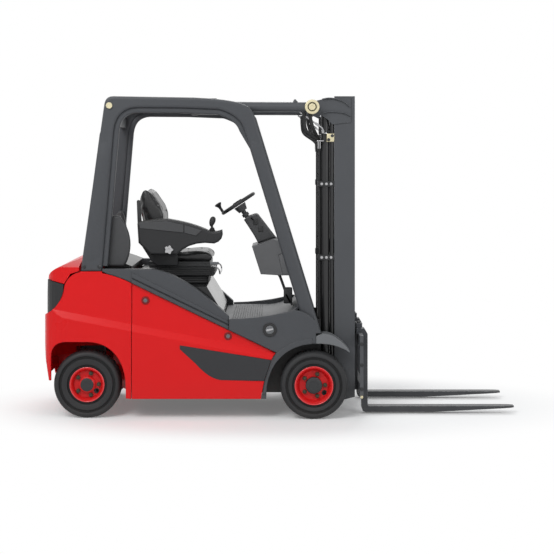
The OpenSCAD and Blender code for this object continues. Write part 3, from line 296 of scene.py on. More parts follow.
def new_group(name, kind, ins, outs):
    """A node group with named sockets: ins are (name, socket type, default) rows, outs (name, type).
    Gives the tree, the sockets that come in and the sockets that go out."""
    tree = bpy.data.node_groups.new(name, kind)
    for label, sort, value in ins:
        s = tree.interface.new_socket(label, in_out="INPUT", socket_type=sort)
        if value is not None:
            s.default_value = value
    for label, sort in outs:
        tree.interface.new_socket(label, in_out="OUTPUT", socket_type=sort)
    return tree, tree.nodes.new("NodeGroupInput").outputs, tree.nodes.new("NodeGroupOutput").inputs


def math_node(tree, op, a, b=0.0, clamp=False):
    """The result of a math node."""
    return add_node(tree, "ShaderNodeMath", {0: a, 1: b}, operation=op, use_clamp=clamp).outputs[0]


def times(tree, a, b, clamp=False):
    """The product of two values or sockets."""
    return math_node(tree, "MULTIPLY", a, b, clamp)


def object_place(tree):
    """Coordinates on the object itself, so that a look rides with its body."""
    return add_node(tree, "ShaderNodeTexCoord").outputs["Object"]


def noise(tree, scale, detail, **more):
    """Noise over the object's own coordinates."""
    inputs = {"Vector": object_place(tree), "Scale": scale, "Detail": detail, **more}
    return add_node(tree, "ShaderNodeTexNoise", inputs).outputs[0]


# Kinds of sockets
FLOAT, VECTOR = "NodeSocketFloat", "NodeSocketVector"
GEOMETRY, MATERIAL = "NodeSocketGeometry", "NodeSocketMaterial"


def build_soft_edges():
    """Rounds the look of sharp edges, and puts out a broken mask along them for wear."""
    tree, given, result = new_group(
        "soft_edges", "ShaderNodeTree", [("Radius", FLOAT, 0.004), ("Wear Scale", FLOAT, 30.0),
                                         ("Wear", FLOAT, 0.3)],
        [("Normal", VECTOR), ("Mask", FLOAT)])
    bevel = add_node(tree, "ShaderNodeBevel", {"Radius": given["Radius"]}, samples=4)
    geo = add_node(tree, "ShaderNodeNewGeometry")
    dot = add_node(tree, "ShaderNodeVectorMath", {0: bevel.outputs[0], 1: geo.outputs["Normal"]},
                   operation="DOT_PRODUCT").outputs["Value"]
    edge = times(tree, math_node(tree, "SUBTRACT", 1.0, dot), 6.0, True)
    chance = math_node(tree, "ADD", noise(tree, given["Wear Scale"], 6.0), given["Wear"])
    broken = math_node(tree, "GREATER_THAN", chance, 0.72)
    tree.links.new(bevel.outputs[0], result["Normal"])
    tree.links.new(times(tree, edge, broken), result["Mask"])
    return tree


def build_paint_skin():
    """Slow change of tone and a fine skin, as sprayed paint has."""
    tree, given, result = new_group(
        "paint_skin", "ShaderNodeTree", [("Cloud Scale", FLOAT, 2.5), ("Skin Scale", FLOAT, 260.0)],
        [("Cloud", FLOAT), ("Height", FLOAT)])
    tree.links.new(noise(tree, given["Cloud Scale"], 4.0), result["Cloud"])
    tree.links.new(noise(tree, given["Skin Scale"], 2.0), result["Height"])
    return tree


def build_grain():
    """Pebbled grain of moulded plastic or vinyl."""
    tree, given, result = new_group(
        "pebble_grain", "ShaderNodeTree", [("Scale", FLOAT, 500.0), ("Break", FLOAT, 40.0)],
        [("Height", FLOAT), ("Tone", FLOAT)])
    cells = add_node(tree, "ShaderNodeTexVoronoi", {"Vector": object_place(tree), "Scale": given["Scale"]},
                     feature="SMOOTH_F1")
    tree.links.new(cells.outputs["Distance"], result["Height"])
    tree.links.new(noise(tree, given["Break"], 5.0), result["Tone"])
    return tree


def build_floor_dust():
    """Pale dust that thins out with height above the floor and gathers on what faces up."""
    tree, given, result = new_group(
        "floor_dust", "ShaderNodeTree", [("Reach", FLOAT, 0.5), ("Low Dust", FLOAT, 0.4),
                                         ("Top Dust", FLOAT, 0.15)],
        [("Mask", FLOAT)])
    split = add_node(tree, "ShaderNodeSeparateXYZ", {0: object_place(tree)})
    low = add_node(tree, "ShaderNodeMapRange", {"Value": split.outputs[2], "From Min": 0.0,
                                                "From Max": given["Reach"], "To Min": 1.0, "To Max": 0.0})
    geo = add_node(tree, "ShaderNodeNewGeometry")
    up = add_node(tree, "ShaderNodeSeparateXYZ", {0: geo.outputs["Normal"]})
    top = math_node(tree, "POWER", math_node(tree, "MAXIMUM", up.outputs[2], 0.0), 3.0)
    both = math_node(tree, "ADD", times(tree, low.outputs[0], given["Low Dust"]),
                     times(tree, top, given["Top Dust"]))
    patches = times(tree, noise(tree, 9.0, 7.0, Roughness=0.65), 1.3)
    tree.links.new(times(tree, both, patches, True), result["Mask"])
    return tree


# Shader groups and finishes by name, filled in by the operator that makes them
GROUPS = {}
FINISH = {}
DUST = (0.30, 0.28, 0.25, 1.0)


def opaque(rgb, scale=1.0):
    """A colour made darker or lighter, with its alpha."""
    return tuple(min(1.0, c * scale) for c in tuple(rgb)[:3]) + (1.0,)


def use_group(tree, name, **values):
    """Puts a shared group in a material and sets its values."""
    n = tree.nodes.new("ShaderNodeGroup")
    n.node_tree = GROUPS[name]
    for key, value in values.items():
        n.inputs[key.replace("_", " ").title()].default_value = value
    return n


def mix_colour(tree, factor, a, b):
    """A mix of two colours: sockets 6 and 7 are a colour mix node's A and B, output 2 its colour."""
    return add_node(tree, "ShaderNodeMix", {0: factor, 6: a, 7: b}, data_type="RGBA").outputs[2]


def finish(name, tint, rough, metallic=0.0, coat=0.0, cloud=0.12, edge=0.004, wear=0.0,
           worn=(0.35, 0.35, 0.36), grain=None, grain_depth=0.15, skin=0.03, low_dust=0.0, top_dust=0.0,
           reach=0.5, rough_var=0.12, streak=None, shine=0.35, front=None, shade=None):
    """Makes a material for one of the truck's finishes, out of the shared groups.
    front is (x, colour): what lies ahead of x has that colour.
    shade names a mesh attribute where the colour is darkened as painted shade."""
    mat = bpy.data.materials.new(name)
    mat.use_nodes = True
    tree = mat.node_tree
    bsdf = tree.nodes["Principled BSDF"]
    skin_group = use_group(tree, "paint_skin")
    cloud_mask = skin_group.outputs["Cloud"]
    tone = mix_colour(tree, cloud_mask, opaque(tint, 1 - cloud), opaque(tint, 1 + cloud))
    height = skin_group.outputs["Height"]
    depth = skin
    if grain:
        grain_group = use_group(tree, "pebble_grain", scale=grain)
        tone = mix_colour(tree, times(tree, grain_group.outputs["Tone"], 0.35), tone, opaque(tint, 0.7))
        height, depth = grain_group.outputs["Height"], grain_depth
    if streak:
        turned = add_node(tree, "ShaderNodeMapping", {"Vector": object_place(tree), "Scale": streak})
        lines = add_node(tree, "ShaderNodeTexNoise", {"Vector": turned.outputs[0], "Scale": 1.0,
                                                      "Detail": 5.0})
        height, depth = lines.outputs[0], grain_depth
        tone = mix_colour(tree, lines.outputs[0], tone, opaque(tint, 0.72))
    if front:
        axes = add_node(tree, "ShaderNodeSeparateXYZ", {0: object_place(tree)})
        ahead = math_node(tree, "GREATER_THAN", axes.outputs[0], front[0])
        tone = mix_colour(tree, ahead, tone, opaque(front[1]))
    # Painted shade: the colour is darker where the mesh attribute is set
    if shade:
        mark = add_node(tree, "ShaderNodeAttribute", attribute_name=shade)
        tone = mix_colour(tree, mark.outputs["Fac"], tone, opaque(tint, 0.25))
    rough_out = add_node(tree, "ShaderNodeMapRange", {
        "Value": cloud_mask, "From Min": 0.3, "From Max": 0.7, "To Min": max(0.03, rough - rough_var / 2),
        "To Max": min(1.0, rough + rough_var / 2)}).outputs[0]
    edges = use_group(tree, "soft_edges", radius=edge, wear=wear)
    if wear:
        tone = mix_colour(tree, edges.outputs["Mask"], tone, opaque(worn))
    if low_dust or top_dust:
        dust = use_group(tree, "floor_dust", reach=reach, low_dust=low_dust, top_dust=top_dust)
        tone = mix_colour(tree, dust.outputs["Mask"], tone, DUST)
        rough_out = math_node(tree, "ADD", rough_out, times(tree, dust.outputs["Mask"], 0.4), True)
    bump = add_node(tree, "ShaderNodeBump", {"Strength": depth, "Distance": 0.001, "Height": height,
                                             "Normal": edges.outputs["Normal"]})
    tree.links.new(tone, bsdf.inputs["Base Color"])
    tree.links.new(rough_out, bsdf.inputs["Roughness"])
    tree.links.new(bump.outputs[0], bsdf.inputs["Normal"])
    bsdf.inputs["Metallic"].default_value = metallic
    bsdf.inputs["Coat Weight"].default_value = coat
    bsdf.inputs["Coat Roughness"].default_value = 0.12
    bsdf.inputs["Specular IOR Level"].default_value = shine
    FINISH[name] = mat


def dress(node, look):
    """Gives a CAD node a finish."""
    materials = NODE[node].data.materials
    materials.clear()
    materials.append(FINISH[look])


class FORKLIFT_OT_finishes(bpy.types.Operator):
    """Makes the paints, plastics, rubber and metals and gives them to the CAD nodes"""

    bl_idname = "forklift.finishes"
    bl_label = "Finishes"

    def execute(self, context):
        GROUPS.update(soft_edges=build_soft_edges(), paint_skin=build_paint_skin(),
                      pebble_grain=build_grain(), floor_dust=build_floor_dust())
        p = paint()
        finish("red_paint", p.red, 0.30, coat=0.12, cloud=0.04, edge=0.006, low_dust=0.03, reach=0.30,
               skin=0.02, rough_var=0.06, shine=0.16)
        finish("tail_paint", p.red, 0.30, coat=0.12, cloud=0.04, edge=0.006, skin=0.02, rough_var=0.06,
               shine=0.16, front=(REAR_WHEEL.x + 0.098, (0.014, 0.0145, 0.016)))
        finish("red_rim", p.rim_red, 0.36, coat=0.10, cloud=0.06, edge=0.003, low_dust=0.04, reach=0.3,
               rough_var=0.08, shine=0.25)
        # A darker copy of the body red for the lock seats: painted shade in each lock's cup
        finish("lock_seat_shade", (0.200, 0.006, 0.007), 0.40, cloud=0.06, edge=0.002)
        finish("grey_body", p.body_grey, 0.46, cloud=0.10, edge=0.009, grain=900.0, grain_depth=0.05,
               top_dust=0.05, low_dust=0.08, reach=0.6)
        finish("mast_paint", p.mast_grey, 0.42, cloud=0.08, edge=0.003, wear=0.10, worn=(0.22, 0.22, 0.23),
               low_dust=0.12, reach=0.4)
        finish("light_grey", p.tip_grey, 0.42, cloud=0.08, edge=0.004, low_dust=0.08)
        finish("insert_grey", (0.029, 0.030, 0.033), 0.50, cloud=0.08, edge=0.002, grain=800.0,
               grain_depth=0.06)
        finish("black_chassis", p.black, 0.55, cloud=0.15, edge=0.003, wear=0.08, worn=(0.10, 0.09, 0.085),
               low_dust=0.25, top_dust=0.10, reach=0.5)
        finish("black_plastic", (0.020, 0.0205, 0.022), 0.48, cloud=0.10, edge=0.004, grain=700.0,
               grain_depth=0.12, top_dust=0.06)
        finish("hood_gloss", (0.010, 0.0105, 0.0115), 0.20, coat=0.15, cloud=0.10, edge=0.008, skin=0.01,
               rough_var=0.05, shine=0.35)
        finish("armrest_top", (0.056, 0.057, 0.060), 0.42, cloud=0.08, edge=0.003, grain=700.0,
               grain_depth=0.10)
        finish("seat_metal", (0.029, 0.0297, 0.031), 0.45, cloud=0.10, edge=0.004, wear=0.06)
        finish("seat_cover", (0.013, 0.0132, 0.014), 0.34, cloud=0.12, edge=0.001, grain=420.0,
               grain_depth=0.16, shine=0.5)
        finish("cylinder_black", (0.015, 0.0152, 0.016), 0.35, coat=0.2, cloud=0.10, edge=0.002)
        finish("hose_rubber", (0.014, 0.0142, 0.015), 0.58, cloud=0.15, edge=0.001, grain=900.0,
               grain_depth=0.1)
        finish("chain_steel", (0.075, 0.073, 0.070), 0.38, metallic=0.8, cloud=0.25, edge=0.001)
        finish("chrome_rod", (0.80, 0.81, 0.83), 0.10, metallic=1.0, cloud=0.03, edge=0.001,
               rough_var=0.04)
        finish("bare_steel", (0.52, 0.52, 0.53), 0.30, metallic=1.0, cloud=0.10, edge=0.001,
               streak=(40.0, 300.0, 300.0))
        finish("pipe_steel", (0.42, 0.42, 0.43), 0.36, metallic=0.7, cloud=0.10, edge=0.001)
        finish("dash_grey", (0.122, 0.124, 0.129), 0.44, cloud=0.10, edge=0.012, grain=900.0,
               grain_depth=0.05)
        finish("zinc", p.zinc, 0.34, metallic=0.35, cloud=0.12, edge=0.003, rough_var=0.10)
        finish("fork_steel", (0.050, 0.053, 0.060), 0.42, metallic=0.35, cloud=0.20, edge=0.003, wear=0.22,
               worn=(0.40, 0.40, 0.41), low_dust=0.10, streak=(6.0, 80.0, 120.0), grain_depth=0.10)
        finish("engine_iron", (0.10, 0.10, 0.105), 0.60, cloud=0.25, edge=0.004, grain=300.0,
               grain_depth=0.3)
        # The tyres get painted shade in their grooves and side wall rings, through their mesh attribute
        finish("tyre", p.rubber, 0.60, cloud=0.08, edge=0.001, grain=900.0, grain_depth=0.06,
               low_dust=0.08, reach=0.12, shade="groove_shade")
        finish("nut_olive", (0.060, 0.056, 0.036), 0.42, metallic=0.4, cloud=0.15, edge=0.002)
        # A brighter copy of the wheel red for the rim's rounded lip: a painted highlight
        finish("rim_lip_highlight", (0.780, 0.045, 0.052), 0.22, coat=0.4, cloud=0.05, edge=0.001, shine=0.5)
        finish("hub_black", (0.030, 0.031, 0.033), 0.34, cloud=0.12, edge=0.002, wear=0.10)
        for s in frame["record"]["subparts"]:
            dress(s["node"], s["material_slot"])
        dress("hood", "hood_gloss")
        dress("tail_cover", "tail_paint")
        dress("lift_glands", "cylinder_black")
        dress("dash_panel", "dash_grey")
        dress("steering_column", "armrest_top")
        return {"FINISHED"}


# Geometry node trees


def new_growth(name, source, **sizes):
    """A geometry node tree that grows a shape on points or along a path, with sizes and a material."""
    rows = [(label.replace("_", " "), FLOAT, value) for label, value in sizes.items()]
    ins = [(source, GEOMETRY, None)] + rows + [("Material", MATERIAL, None)]
    return new_group(name, "GeometryNodeTree", ins, [("Shape", GEOMETRY)])


def realized(tree, geometry, given, result):
    """Ends a geometry node tree: real meshes in one material."""
    real = add_node(tree, "GeometryNodeRealizeInstances", {0: geometry})
    coated = add_node(tree, "GeometryNodeSetMaterial", {"Geometry": real.outputs[0],
                                                        "Material": given["Material"]})
    tree.links.new(coated.outputs[0], result[0])
    return tree


def set_on(tree, points, shape, **more):
    """A shape on each point, turned or chosen where asked."""
    inputs = {"Points": points, "Instance": shape, **more}
    return add_node(tree, "GeometryNodeInstanceOnPoints", inputs).outputs[0]


def build_bolt_tree():
    """Hexagon bolt heads on washers, one on each point, facing along the points' own direction."""
    tree, given, result = new_growth("bolt_rows", "Points", Head_Radius=0.008, Head_Height=0.006)
    head = add_node(tree, "GeometryNodeMeshCylinder", {"Vertices": 6, "Radius": given["Head Radius"],
                                                      "Depth": given["Head Height"]})
    lift = add_node(tree, "ShaderNodeCombineXYZ", {2: times(tree, given["Head Height"], 0.75)})
    raised = add_node(tree, "GeometryNodeTransform", {"Geometry": head.outputs[0],
                                                      "Translation": lift.outputs[0]})
    washer = add_node(tree, "GeometryNodeMeshCylinder", {
        "Vertices": 20, "Radius": times(tree, given["Head Radius"], 1.45),
        "Depth": times(tree, given["Head Height"], 0.5)})
    both = add_node(tree, "GeometryNodeJoinGeometry")
    tree.links.new(raised.outputs[0], both.inputs[0])
    tree.links.new(washer.outputs[0], both.inputs[0])
    facing = add_node(tree, "GeometryNodeInputNamedAttribute", {"Name": "facing"},
                      data_type="FLOAT_VECTOR")
    turn = add_node(tree, "FunctionNodeAlignRotationToVector", {"Vector": facing.outputs[0]}, axis="Z")
    heads = set_on(tree, given["Points"], both.outputs[0], Rotation=turn.outputs[0])
    return realized(tree, heads, given, result)


def build_chain_tree():
    """Leaf chain along a path: plates in turn wide and narrow, and a pin at each pitch."""
    tree, given, result = new_growth("leaf_chain", "Path", Pitch=0.0254, Width=0.024, Height=0.016)
    line = add_node(tree, "GeometryNodeMeshToCurve", {"Mesh": given["Path"]})
    beads = add_node(tree, "GeometryNodeCurveToPoints", {"Curve": line.outputs[0],
                                                         "Length": given["Pitch"]},
                     mode="LENGTH")
    turn = add_node(tree, "FunctionNodeAlignRotationToVector", {"Vector": beads.outputs["Tangent"]},
                    axis="X", pivot_axis="Y")
    parts = []
    plate_len = times(tree, given["Pitch"], 1.42)
    plate_t = times(tree, given["Width"], 0.13)
    row = add_node(tree, "GeometryNodeInputIndex")
    odd = math_node(tree, "MODULO", row.outputs[0], 2.0)
    for places, keep in (((-0.43, -0.14, 0.14, 0.43), 0.0), ((-0.285, 0.0, 0.285), 1.0)):
        plates = add_node(tree, "GeometryNodeJoinGeometry")
        for y in places:
            size = add_node(tree, "ShaderNodeCombineXYZ", {0: plate_len, 1: plate_t, 2: given["Height"]})
            plate = add_node(tree, "GeometryNodeMeshCube", {"Size": size.outputs[0]})
            move = add_node(tree, "ShaderNodeCombineXYZ",
                            {0: times(tree, given["Pitch"], 0.5),
                             1: times(tree, given["Width"], y)})
            moved = add_node(tree, "GeometryNodeTransform", {"Geometry": plate.outputs[0],
                                                             "Translation": move.outputs[0]})
            tree.links.new(moved.outputs[0], plates.inputs[0])
        chosen = math_node(tree, "COMPARE", odd, keep)
        parts.append(set_on(tree, beads.outputs[0], plates.outputs[0], Selection=chosen,
                            Rotation=turn.outputs[0]))
    pin = add_node(tree, "GeometryNodeMeshCylinder", {
        "Vertices": 12, "Radius": times(tree, given["Height"], 0.30),
        "Depth": times(tree, given["Width"], 1.06)})
    across = add_node(tree, "GeometryNodeTransform", {"Geometry": pin.outputs[0],
                                                      "Rotation": (math.pi / 2, 0.0, 0.0)})
    parts.append(set_on(tree, beads.outputs[0], across.outputs[0], Rotation=turn.outputs[0]))
    whole = add_node(tree, "GeometryNodeJoinGeometry")
    for s in parts:
        tree.links.new(s, whole.inputs[0])
    return realized(tree, whole.outputs[0], given, result)


def build_hose_tree():
    """A hose with a ribbed guard: its radius steps up and down along the path."""
    tree, given, result = new_growth("ribbed_hose", "Path", Radius=0.0095, Pitch=0.008, Rib=0.16)
    line = add_node(tree, "GeometryNodeMeshToCurve", {"Mesh": given["Path"]})
    fine = add_node(tree, "GeometryNodeResampleCurve", {
        "Curve": line.outputs[0], "Length": times(tree, given["Pitch"], 0.5)}, mode="LENGTH")
    index = add_node(tree, "GeometryNodeInputIndex")
    odd = math_node(tree, "MODULO", index.outputs[0], 2.0)
    scale = math_node(tree, "SUBTRACT", 1.0, times(tree, odd, given["Rib"]))
    sized = add_node(tree, "GeometryNodeSetCurveRadius", {"Curve": fine.outputs[0], "Radius": scale})
    ring = add_node(tree, "GeometryNodeCurvePrimitiveCircle", {"Resolution": 12,
                                                               "Radius": given["Radius"]})
    skin = add_node(tree, "GeometryNodeCurveToMesh", {"Curve": sized.outputs[0],
                                                      "Profile Curve": ring.outputs[0], "Fill Caps": True})
    return realized(tree, skin.outputs[0], given, result)


def build_rib_tree():
    """Round ribs, one on each point, along Y. Their lower half sinks into what they lie on."""
    tree, given, result = new_growth("mat_ribs", "Points", Length=0.8, Radius=0.003)
    bar = add_node(tree, "GeometryNodeMeshCylinder", {"Vertices": 8, "Radius": given["Radius"],
                                                     "Depth": given["Length"]})
    laid = add_node(tree, "GeometryNodeTransform", {"Geometry": bar.outputs[0],
                                                    "Rotation": (math.pi / 2, 0.0, 0.0)})
    return realized(tree, set_on(tree, given["Points"], laid.outputs[0]), given, result)


def build_bellows_tree():
    """Rounded rectangular folds, one on each point, lying flat."""
    tree, given, result = new_growth("bellows", "Points", Length=0.36, Width=0.42, Corner=0.03, Fold=0.008)
    frame_curve = add_node(tree, "GeometryNodeCurvePrimitiveQuadrilateral", {0: given["Length"],
                                                                           1: given["Width"]},
                           mode="RECTANGLE")
    soft = add_node(tree, "GeometryNodeFilletCurve", {"Curve": frame_curve.outputs[0],
                                                      "Radius": given["Corner"]})
    soft.mode = "POLY"
    for socket in soft.inputs:
        if socket.name == "Count":
            socket.default_value = 8
    ring = add_node(tree, "GeometryNodeCurvePrimitiveCircle", {"Resolution": 10, "Radius": given["Fold"]})
    fold = add_node(tree, "GeometryNodeCurveToMesh", {"Curve": soft.outputs[0],
                                                      "Profile Curve": ring.outputs[0]})
    return realized(tree, set_on(tree, given["Points"], fold.outputs[0]), given, result)


# Geometry node trees by name, made when they are first used
TREES = {}
TREE_MAKERS = {"bolts": build_bolt_tree, "chain": build_chain_tree, "hose": build_hose_tree,
               "ribs": build_rib_tree, "bellows": build_bellows_tree}


def grown(name, tree_name, paths, look, **values):
    """Runs a geometry node tree on points or on paths and returns a plain mesh.
    paths is a list of point lists, or of (point, direction) rows for shapes that sit on points."""
    values["Material"] = FINISH[look]
    if tree_name not in TREES:
        TREES[tree_name] = TREE_MAKERS[tree_name]()
    tree = TREES[tree_name]
    me = bpy.data.meshes.new(name + "_path")
    if tree_name in ("bolts", "ribs", "bellows"):
        me.from_pydata([tuple(p) for p, _ in paths], [], [])
        facing = me.attributes.new("facing", "FLOAT_VECTOR", "POINT")
        facing.data.foreach_set("vector", [c for _, d in paths for c in Vector(d).normalized()])
    else:
        verts, edges = [], []
        for path in paths:
            start = len(verts)
            verts += [tuple(p) for p in path]
            edges += [(start + k, start + k + 1) for k in range(len(path) - 1)]
        me.from_pydata(verts, edges, [])
    ob = bpy.data.objects.new(name + "_path", me)
    bpy.context.scene.collection.objects.link(ob)
    mod = ob.modifiers.new("grow", "NODES")
    mod.node_group = tree
    for item in tree.interface.items_tree:
        if item.in_out == "INPUT" and item.name in values:
            mod[item.identifier] = values[item.name]
    graph = bpy.context.evaluated_depsgraph_get()
    out = bpy.data.meshes.new_from_object(ob.evaluated_get(graph))
    ob.modifiers.remove(mod)
    bpy.data.objects.remove(ob)
    if not out.polygons:
        raise RuntimeError(f"{name}: the tree {tree_name} made nothing")
    return out


def bolt_mesh(name, rows, look, scale=1.0):
    """Bolt heads on (point, direction) rows."""
    sizes = {"Head Radius": trim().bolt_r * scale, "Head Height": trim().bolt_h * scale}
    return grown(name, "bolts", rows, look, **sizes)


# Wheels


def tyre_mesh(name, centre, width, bead, lugs, depth):
    """A solid tyre: beads, ringed side walls and a tread of cross cuts either side of two grooves.
    A mesh attribute marks what is sunk and the side wall rings, where painted shade darkens the rubber."""
    h = width / 2
    top = TYRE_R
    # Side wall rings that are sunk and also get painted shade
    dark = ((bead + 0.0080, bead + 0.0245), (top - 0.0500, top - 0.0380))
    wall = [(bead + 0.0006, -0.0155), (bead + 0.0060, -0.0095), (dark[0][0], -0.0140),
            (dark[0][1], -0.0140), (bead + 0.0265, -0.0050), (bead + 0.0320, -0.0028),
            (top - 0.0545, -0.0034), (top - 0.0520, -0.0060), (dark[1][0], -0.0125), (dark[1][1], -0.0125),
            (top - 0.0360, -0.0045), (top - 0.0330, -0.0012), (top - 0.0260, -0.0002),
            (top - 0.0190, -0.0016), (top - 0.0130, -0.0048), (top - 0.0080, -0.0092),
            (top - 0.0042, -0.0146), (top - 0.0014, -0.0216)]
    flat = [(top, h - 0.030), (top, h * 0.615), (top, h * 0.595), (top, h * 0.45), (top, h * 0.305),
            (top, h * 0.285), (top, h * 0.265), (top, h * 0.205), (top, h * 0.185), (top, h * 0.06)]
    half = [(r, h + y) for r, y in wall] + flat
    profile = half + [(r, -y) for r, y in reversed(half)]
    n = len(profile)
    per_lug = 8
    steps = lugs * per_lug
    lug_cuts, groove, cut_half = (0.30, 0.60), (0.20, 0.27), 0.14
    verts, shade_marks = [], []
    for k in range(steps):
        a = 2 * math.pi * k / steps
        for r, y in profile:
            part = abs(y) / h
            phase = (k / per_lug + (0.5 if y > 0 else 0.0) + 0.5 * part) % 1.0
            cut = lug_cuts[0] < part < lug_cuts[1] and abs(phase - 0.5) < cut_half
            sunk = r > top - 0.0005 and (cut or groove[0] < part < groove[1])
            rr = r - depth * (1.0 if sunk else 0.0)
            shade_marks.append(1.0 if sunk or any(lo <= r <= hi for lo, hi in dark) else 0.0)
            verts.append((centre[0] + rr * math.cos(a), centre[1] + y, centre[2] + rr * math.sin(a)))
    faces = []
    for k in range(steps):
        t = (k + 1) % steps
        for i in range(n):
            j = (i + 1) % n
            faces.append((k * n + i, k * n + j, t * n + j, t * n + i))
    me = mesh_of(name, verts, faces)
    me.attributes.new("groove_shade", "FLOAT", "POINT").data.foreach_set("value", shade_marks)
    return me


class FORKLIFT_OT_tyres(bpy.types.Operator):
    """Moulds the four tyres with their side wall rings and lugs"""

    bl_idname = "forklift.tyres"
    bl_label = "Tyres"

    def execute(self, context):
        t = trim()
        for end in ("front", "rear"):
            for side, _ in SIDES:
                node = f"{end}_tyre_{side}"
                lo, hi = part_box(node)
                rim_lo, rim_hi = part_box(f"{end}_rim_{side}")
                bead = (rim_hi.z - rim_lo.z) / 2 - 0.009
                me = tyre_mesh(f"{node}_tread", mid(node), hi.y - lo.y, bead, t.tread_lugs, t.tread_depth)
                piece(f"{node}_tread", me, f"{end}_wheel_{side}", "tyre", angle=28, replaces=(node,))
        return {"FINISHED"}


class FORKLIFT_OT_hubs(bpy.types.Operator):
    """Fits the hub caps, wheel nuts, brake drums and rim beads on the wheels, with a painted highlight on the
    beads and dark rings that paint shade round the valve holes
    """

    bl_idname = "forklift.hubs"
    bl_label = "Wheel hubs"

    def execute(self, context):
        stud_circle = 0.076
        valve_turn = math.radians(36)
        for end in ("front", "rear"):
            for side, sign in SIDES:
                body = f"{end}_wheel_{side}"
                tyre_lo, tyre_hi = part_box(f"{end}_tyre_{side}")
                c = (tyre_lo + tyre_hi) / 2
                lo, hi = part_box(f"{end}_rim_{side}")
                hub_face = 0.034 + (0.036 if end == "front" else 0.034)
                base = Vector((c.x, c.y + sign * hub_face, c.z))
                out = (0, sign, 0)
                if end == "front":
                    prof = [(0.0, -0.001), (0.0385, -0.001), (0.0385, 0.0004), (0.0534, 0.0004),
                            (0.0534, -0.0265), (0.0555, -0.0265), (0.0560, -0.004), (0.0530, 0.0030),
                            (0.0440, 0.0062), (0.0300, 0.0070), (0.0290, 0.0056), (0.0, 0.0056)]
                else:
                    prof = [(0.0, -0.001), (0.0430, 0.0004), (0.0440, 0.0030), (0.0400, 0.0062),
                            (0.0220, 0.0072), (0.0210, 0.0058), (0.0, 0.0058)]
                piece(f"hub_cap_{end}_{side}", revolve("cap", prof, base, out, 56), body, "hub_black")
                nut = [(0.0, -0.0205), (0.0175, -0.0205), (0.0175, -0.0165), (0.0138, -0.0120),
                       (0.0133, 0.0008), (0.0112, 0.0026), (0.0066, 0.0026), (0.0066, 0.0078),
                       (0.0050, 0.0092), (0.0, 0.0092)]
                nuts = []
                for k in range(5):
                    a = math.radians(72 * k)
                    spot = base + Vector((stud_circle * math.cos(a), -sign * 0.0148,
                                          -stud_circle * math.sin(a)))
                    nuts.append(revolve("nut", nut, spot, out, 24))
                piece(f"wheel_nuts_{end}_{side}", nuts, body, "nut_olive")
                if end == "front":
                    plate = [(0.058, -0.003), (0.1030, -0.003), (0.1030, 0.003), (0.058, 0.003)]
                    back = base - Vector((0, sign * 0.054, 0))
                    piece(f"brake_drum_{side}", revolve("drum", plate, back, out), body, "black_chassis")
                flange = (hi.z - lo.z) / 2
                edge = Vector((c.x, c.y + sign * ((tyre_hi.y - tyre_lo.y) / 2 - 0.004), c.z))
                lip = [(flange - 0.0030 + 0.0034 * math.cos(math.radians(d)),
                        0.0034 * math.sin(math.radians(d)))
                       for d in range(0, 360, 30)]
                # The bead's brighter red is a painted highlight on the rim's lip
                piece(f"rim_bead_{end}_{side}", revolve("bead", lip, edge, out, 72), body, "rim_lip_highlight")
                # Dark rings round the valve holes: painted shade that widens the dark of each hole
                valve_r = flange - 0.009 - 0.032
                hole = base + Vector((valve_r * math.cos(valve_turn), -sign * 0.0275,
                                      -valve_r * math.sin(valve_turn)))
                ring = [(0.0120, -0.004), (0.0180, -0.001), (0.0180, 0.0014), (0.0120, 0.0014)]
                piece(f"valve_hole_shade_{end}_{side}", revolve("valve_shade_ring", ring, hole, out, 32), body,
                      "hose_rubber")
        return {"FINISHED"}


# Mast, chains and hydraulics


class FORKLIFT_OT_chains(bpy.types.Operator):
    """Runs the leaf chains from the outer mast over the pulleys down to the carriage"""

    bl_idname = "forklift.chains"
    bl_label = "Lift chains"

    def execute(self, context):
        t = trim()
        rear_lo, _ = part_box("chains_rear")
        front_lo, front_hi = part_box("chains_front")
        y = abs(rear_lo.y) - 0.012
        pulley_z = front_hi.z
        x_front = (front_lo.x + front_hi.x) / 2
        pulley_r, anchor_z = 0.055, 1.158
        pulley_x = x_front - pulley_r
        x_rear = pulley_x - pulley_r
        values = {"Pitch": t.chain_pitch, "Width": 0.024, "Height": 0.015}
        back = [[(x_rear, s * y, anchor_z + k * (pulley_z - anchor_z) / 12) for k in range(13)]
                for s in (-1, 1)]
        me = grown("lift_chain_rear", "chain", back, "chain_steel", **values)
        anchors = [sweep("eye", [(x_rear + 0.001, s * y, 1.100), (x_rear + 0.001, s * y, 1.162)], 0.008)
                   for s in (-1, 1)]
        ob = piece("lift_chain_rear", [me] + anchors, "mast_outer", "chain_steel",
                   replaces=("chains_rear",), ride=False)
        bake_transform(ob)
        front = [[(x_front, s * y, front_lo.z + 0.006 + k * (pulley_z - front_lo.z) / 14)
                  for k in range(15)]
                 for s in (-1, 1)]
        me = grown("lift_chain_front", "chain", front, "chain_steel", **values)
        ob = piece("lift_chain_front", me, "carriage", "chain_steel",
                   replaces=("chains_front",), ride=False)
        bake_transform(ob)
        over = [[(pulley_x - pulley_r * math.cos(a), s * y, pulley_z + pulley_r * math.sin(a))
                 for a in (math.pi * k / 16 for k in range(17))] for s in (-1, 1)]
        me = grown("lift_chain_over", "chain", over, "chain_steel", **values)
        piece("lift_chain_over", me, "mast_inner", "chain_steel")
        ends = []
        for s in (-1, 1):
            ends.append(sweep("screw", [(x_front, s * y, front_lo.z - 0.075),
                                        (x_front, s * y, front_lo.z + 0.008)],
                              0.0075))
        nuts = bolt_mesh("nuts", [((x_front, s * y, front_lo.z - 0.043), (0, 0, -1)) for s in (-1, 1)],
                         "bare_steel", 1.3)
        piece("chain_anchor_screws", ends + [nuts], "carriage", "bare_steel")
        return {"FINISHED"}


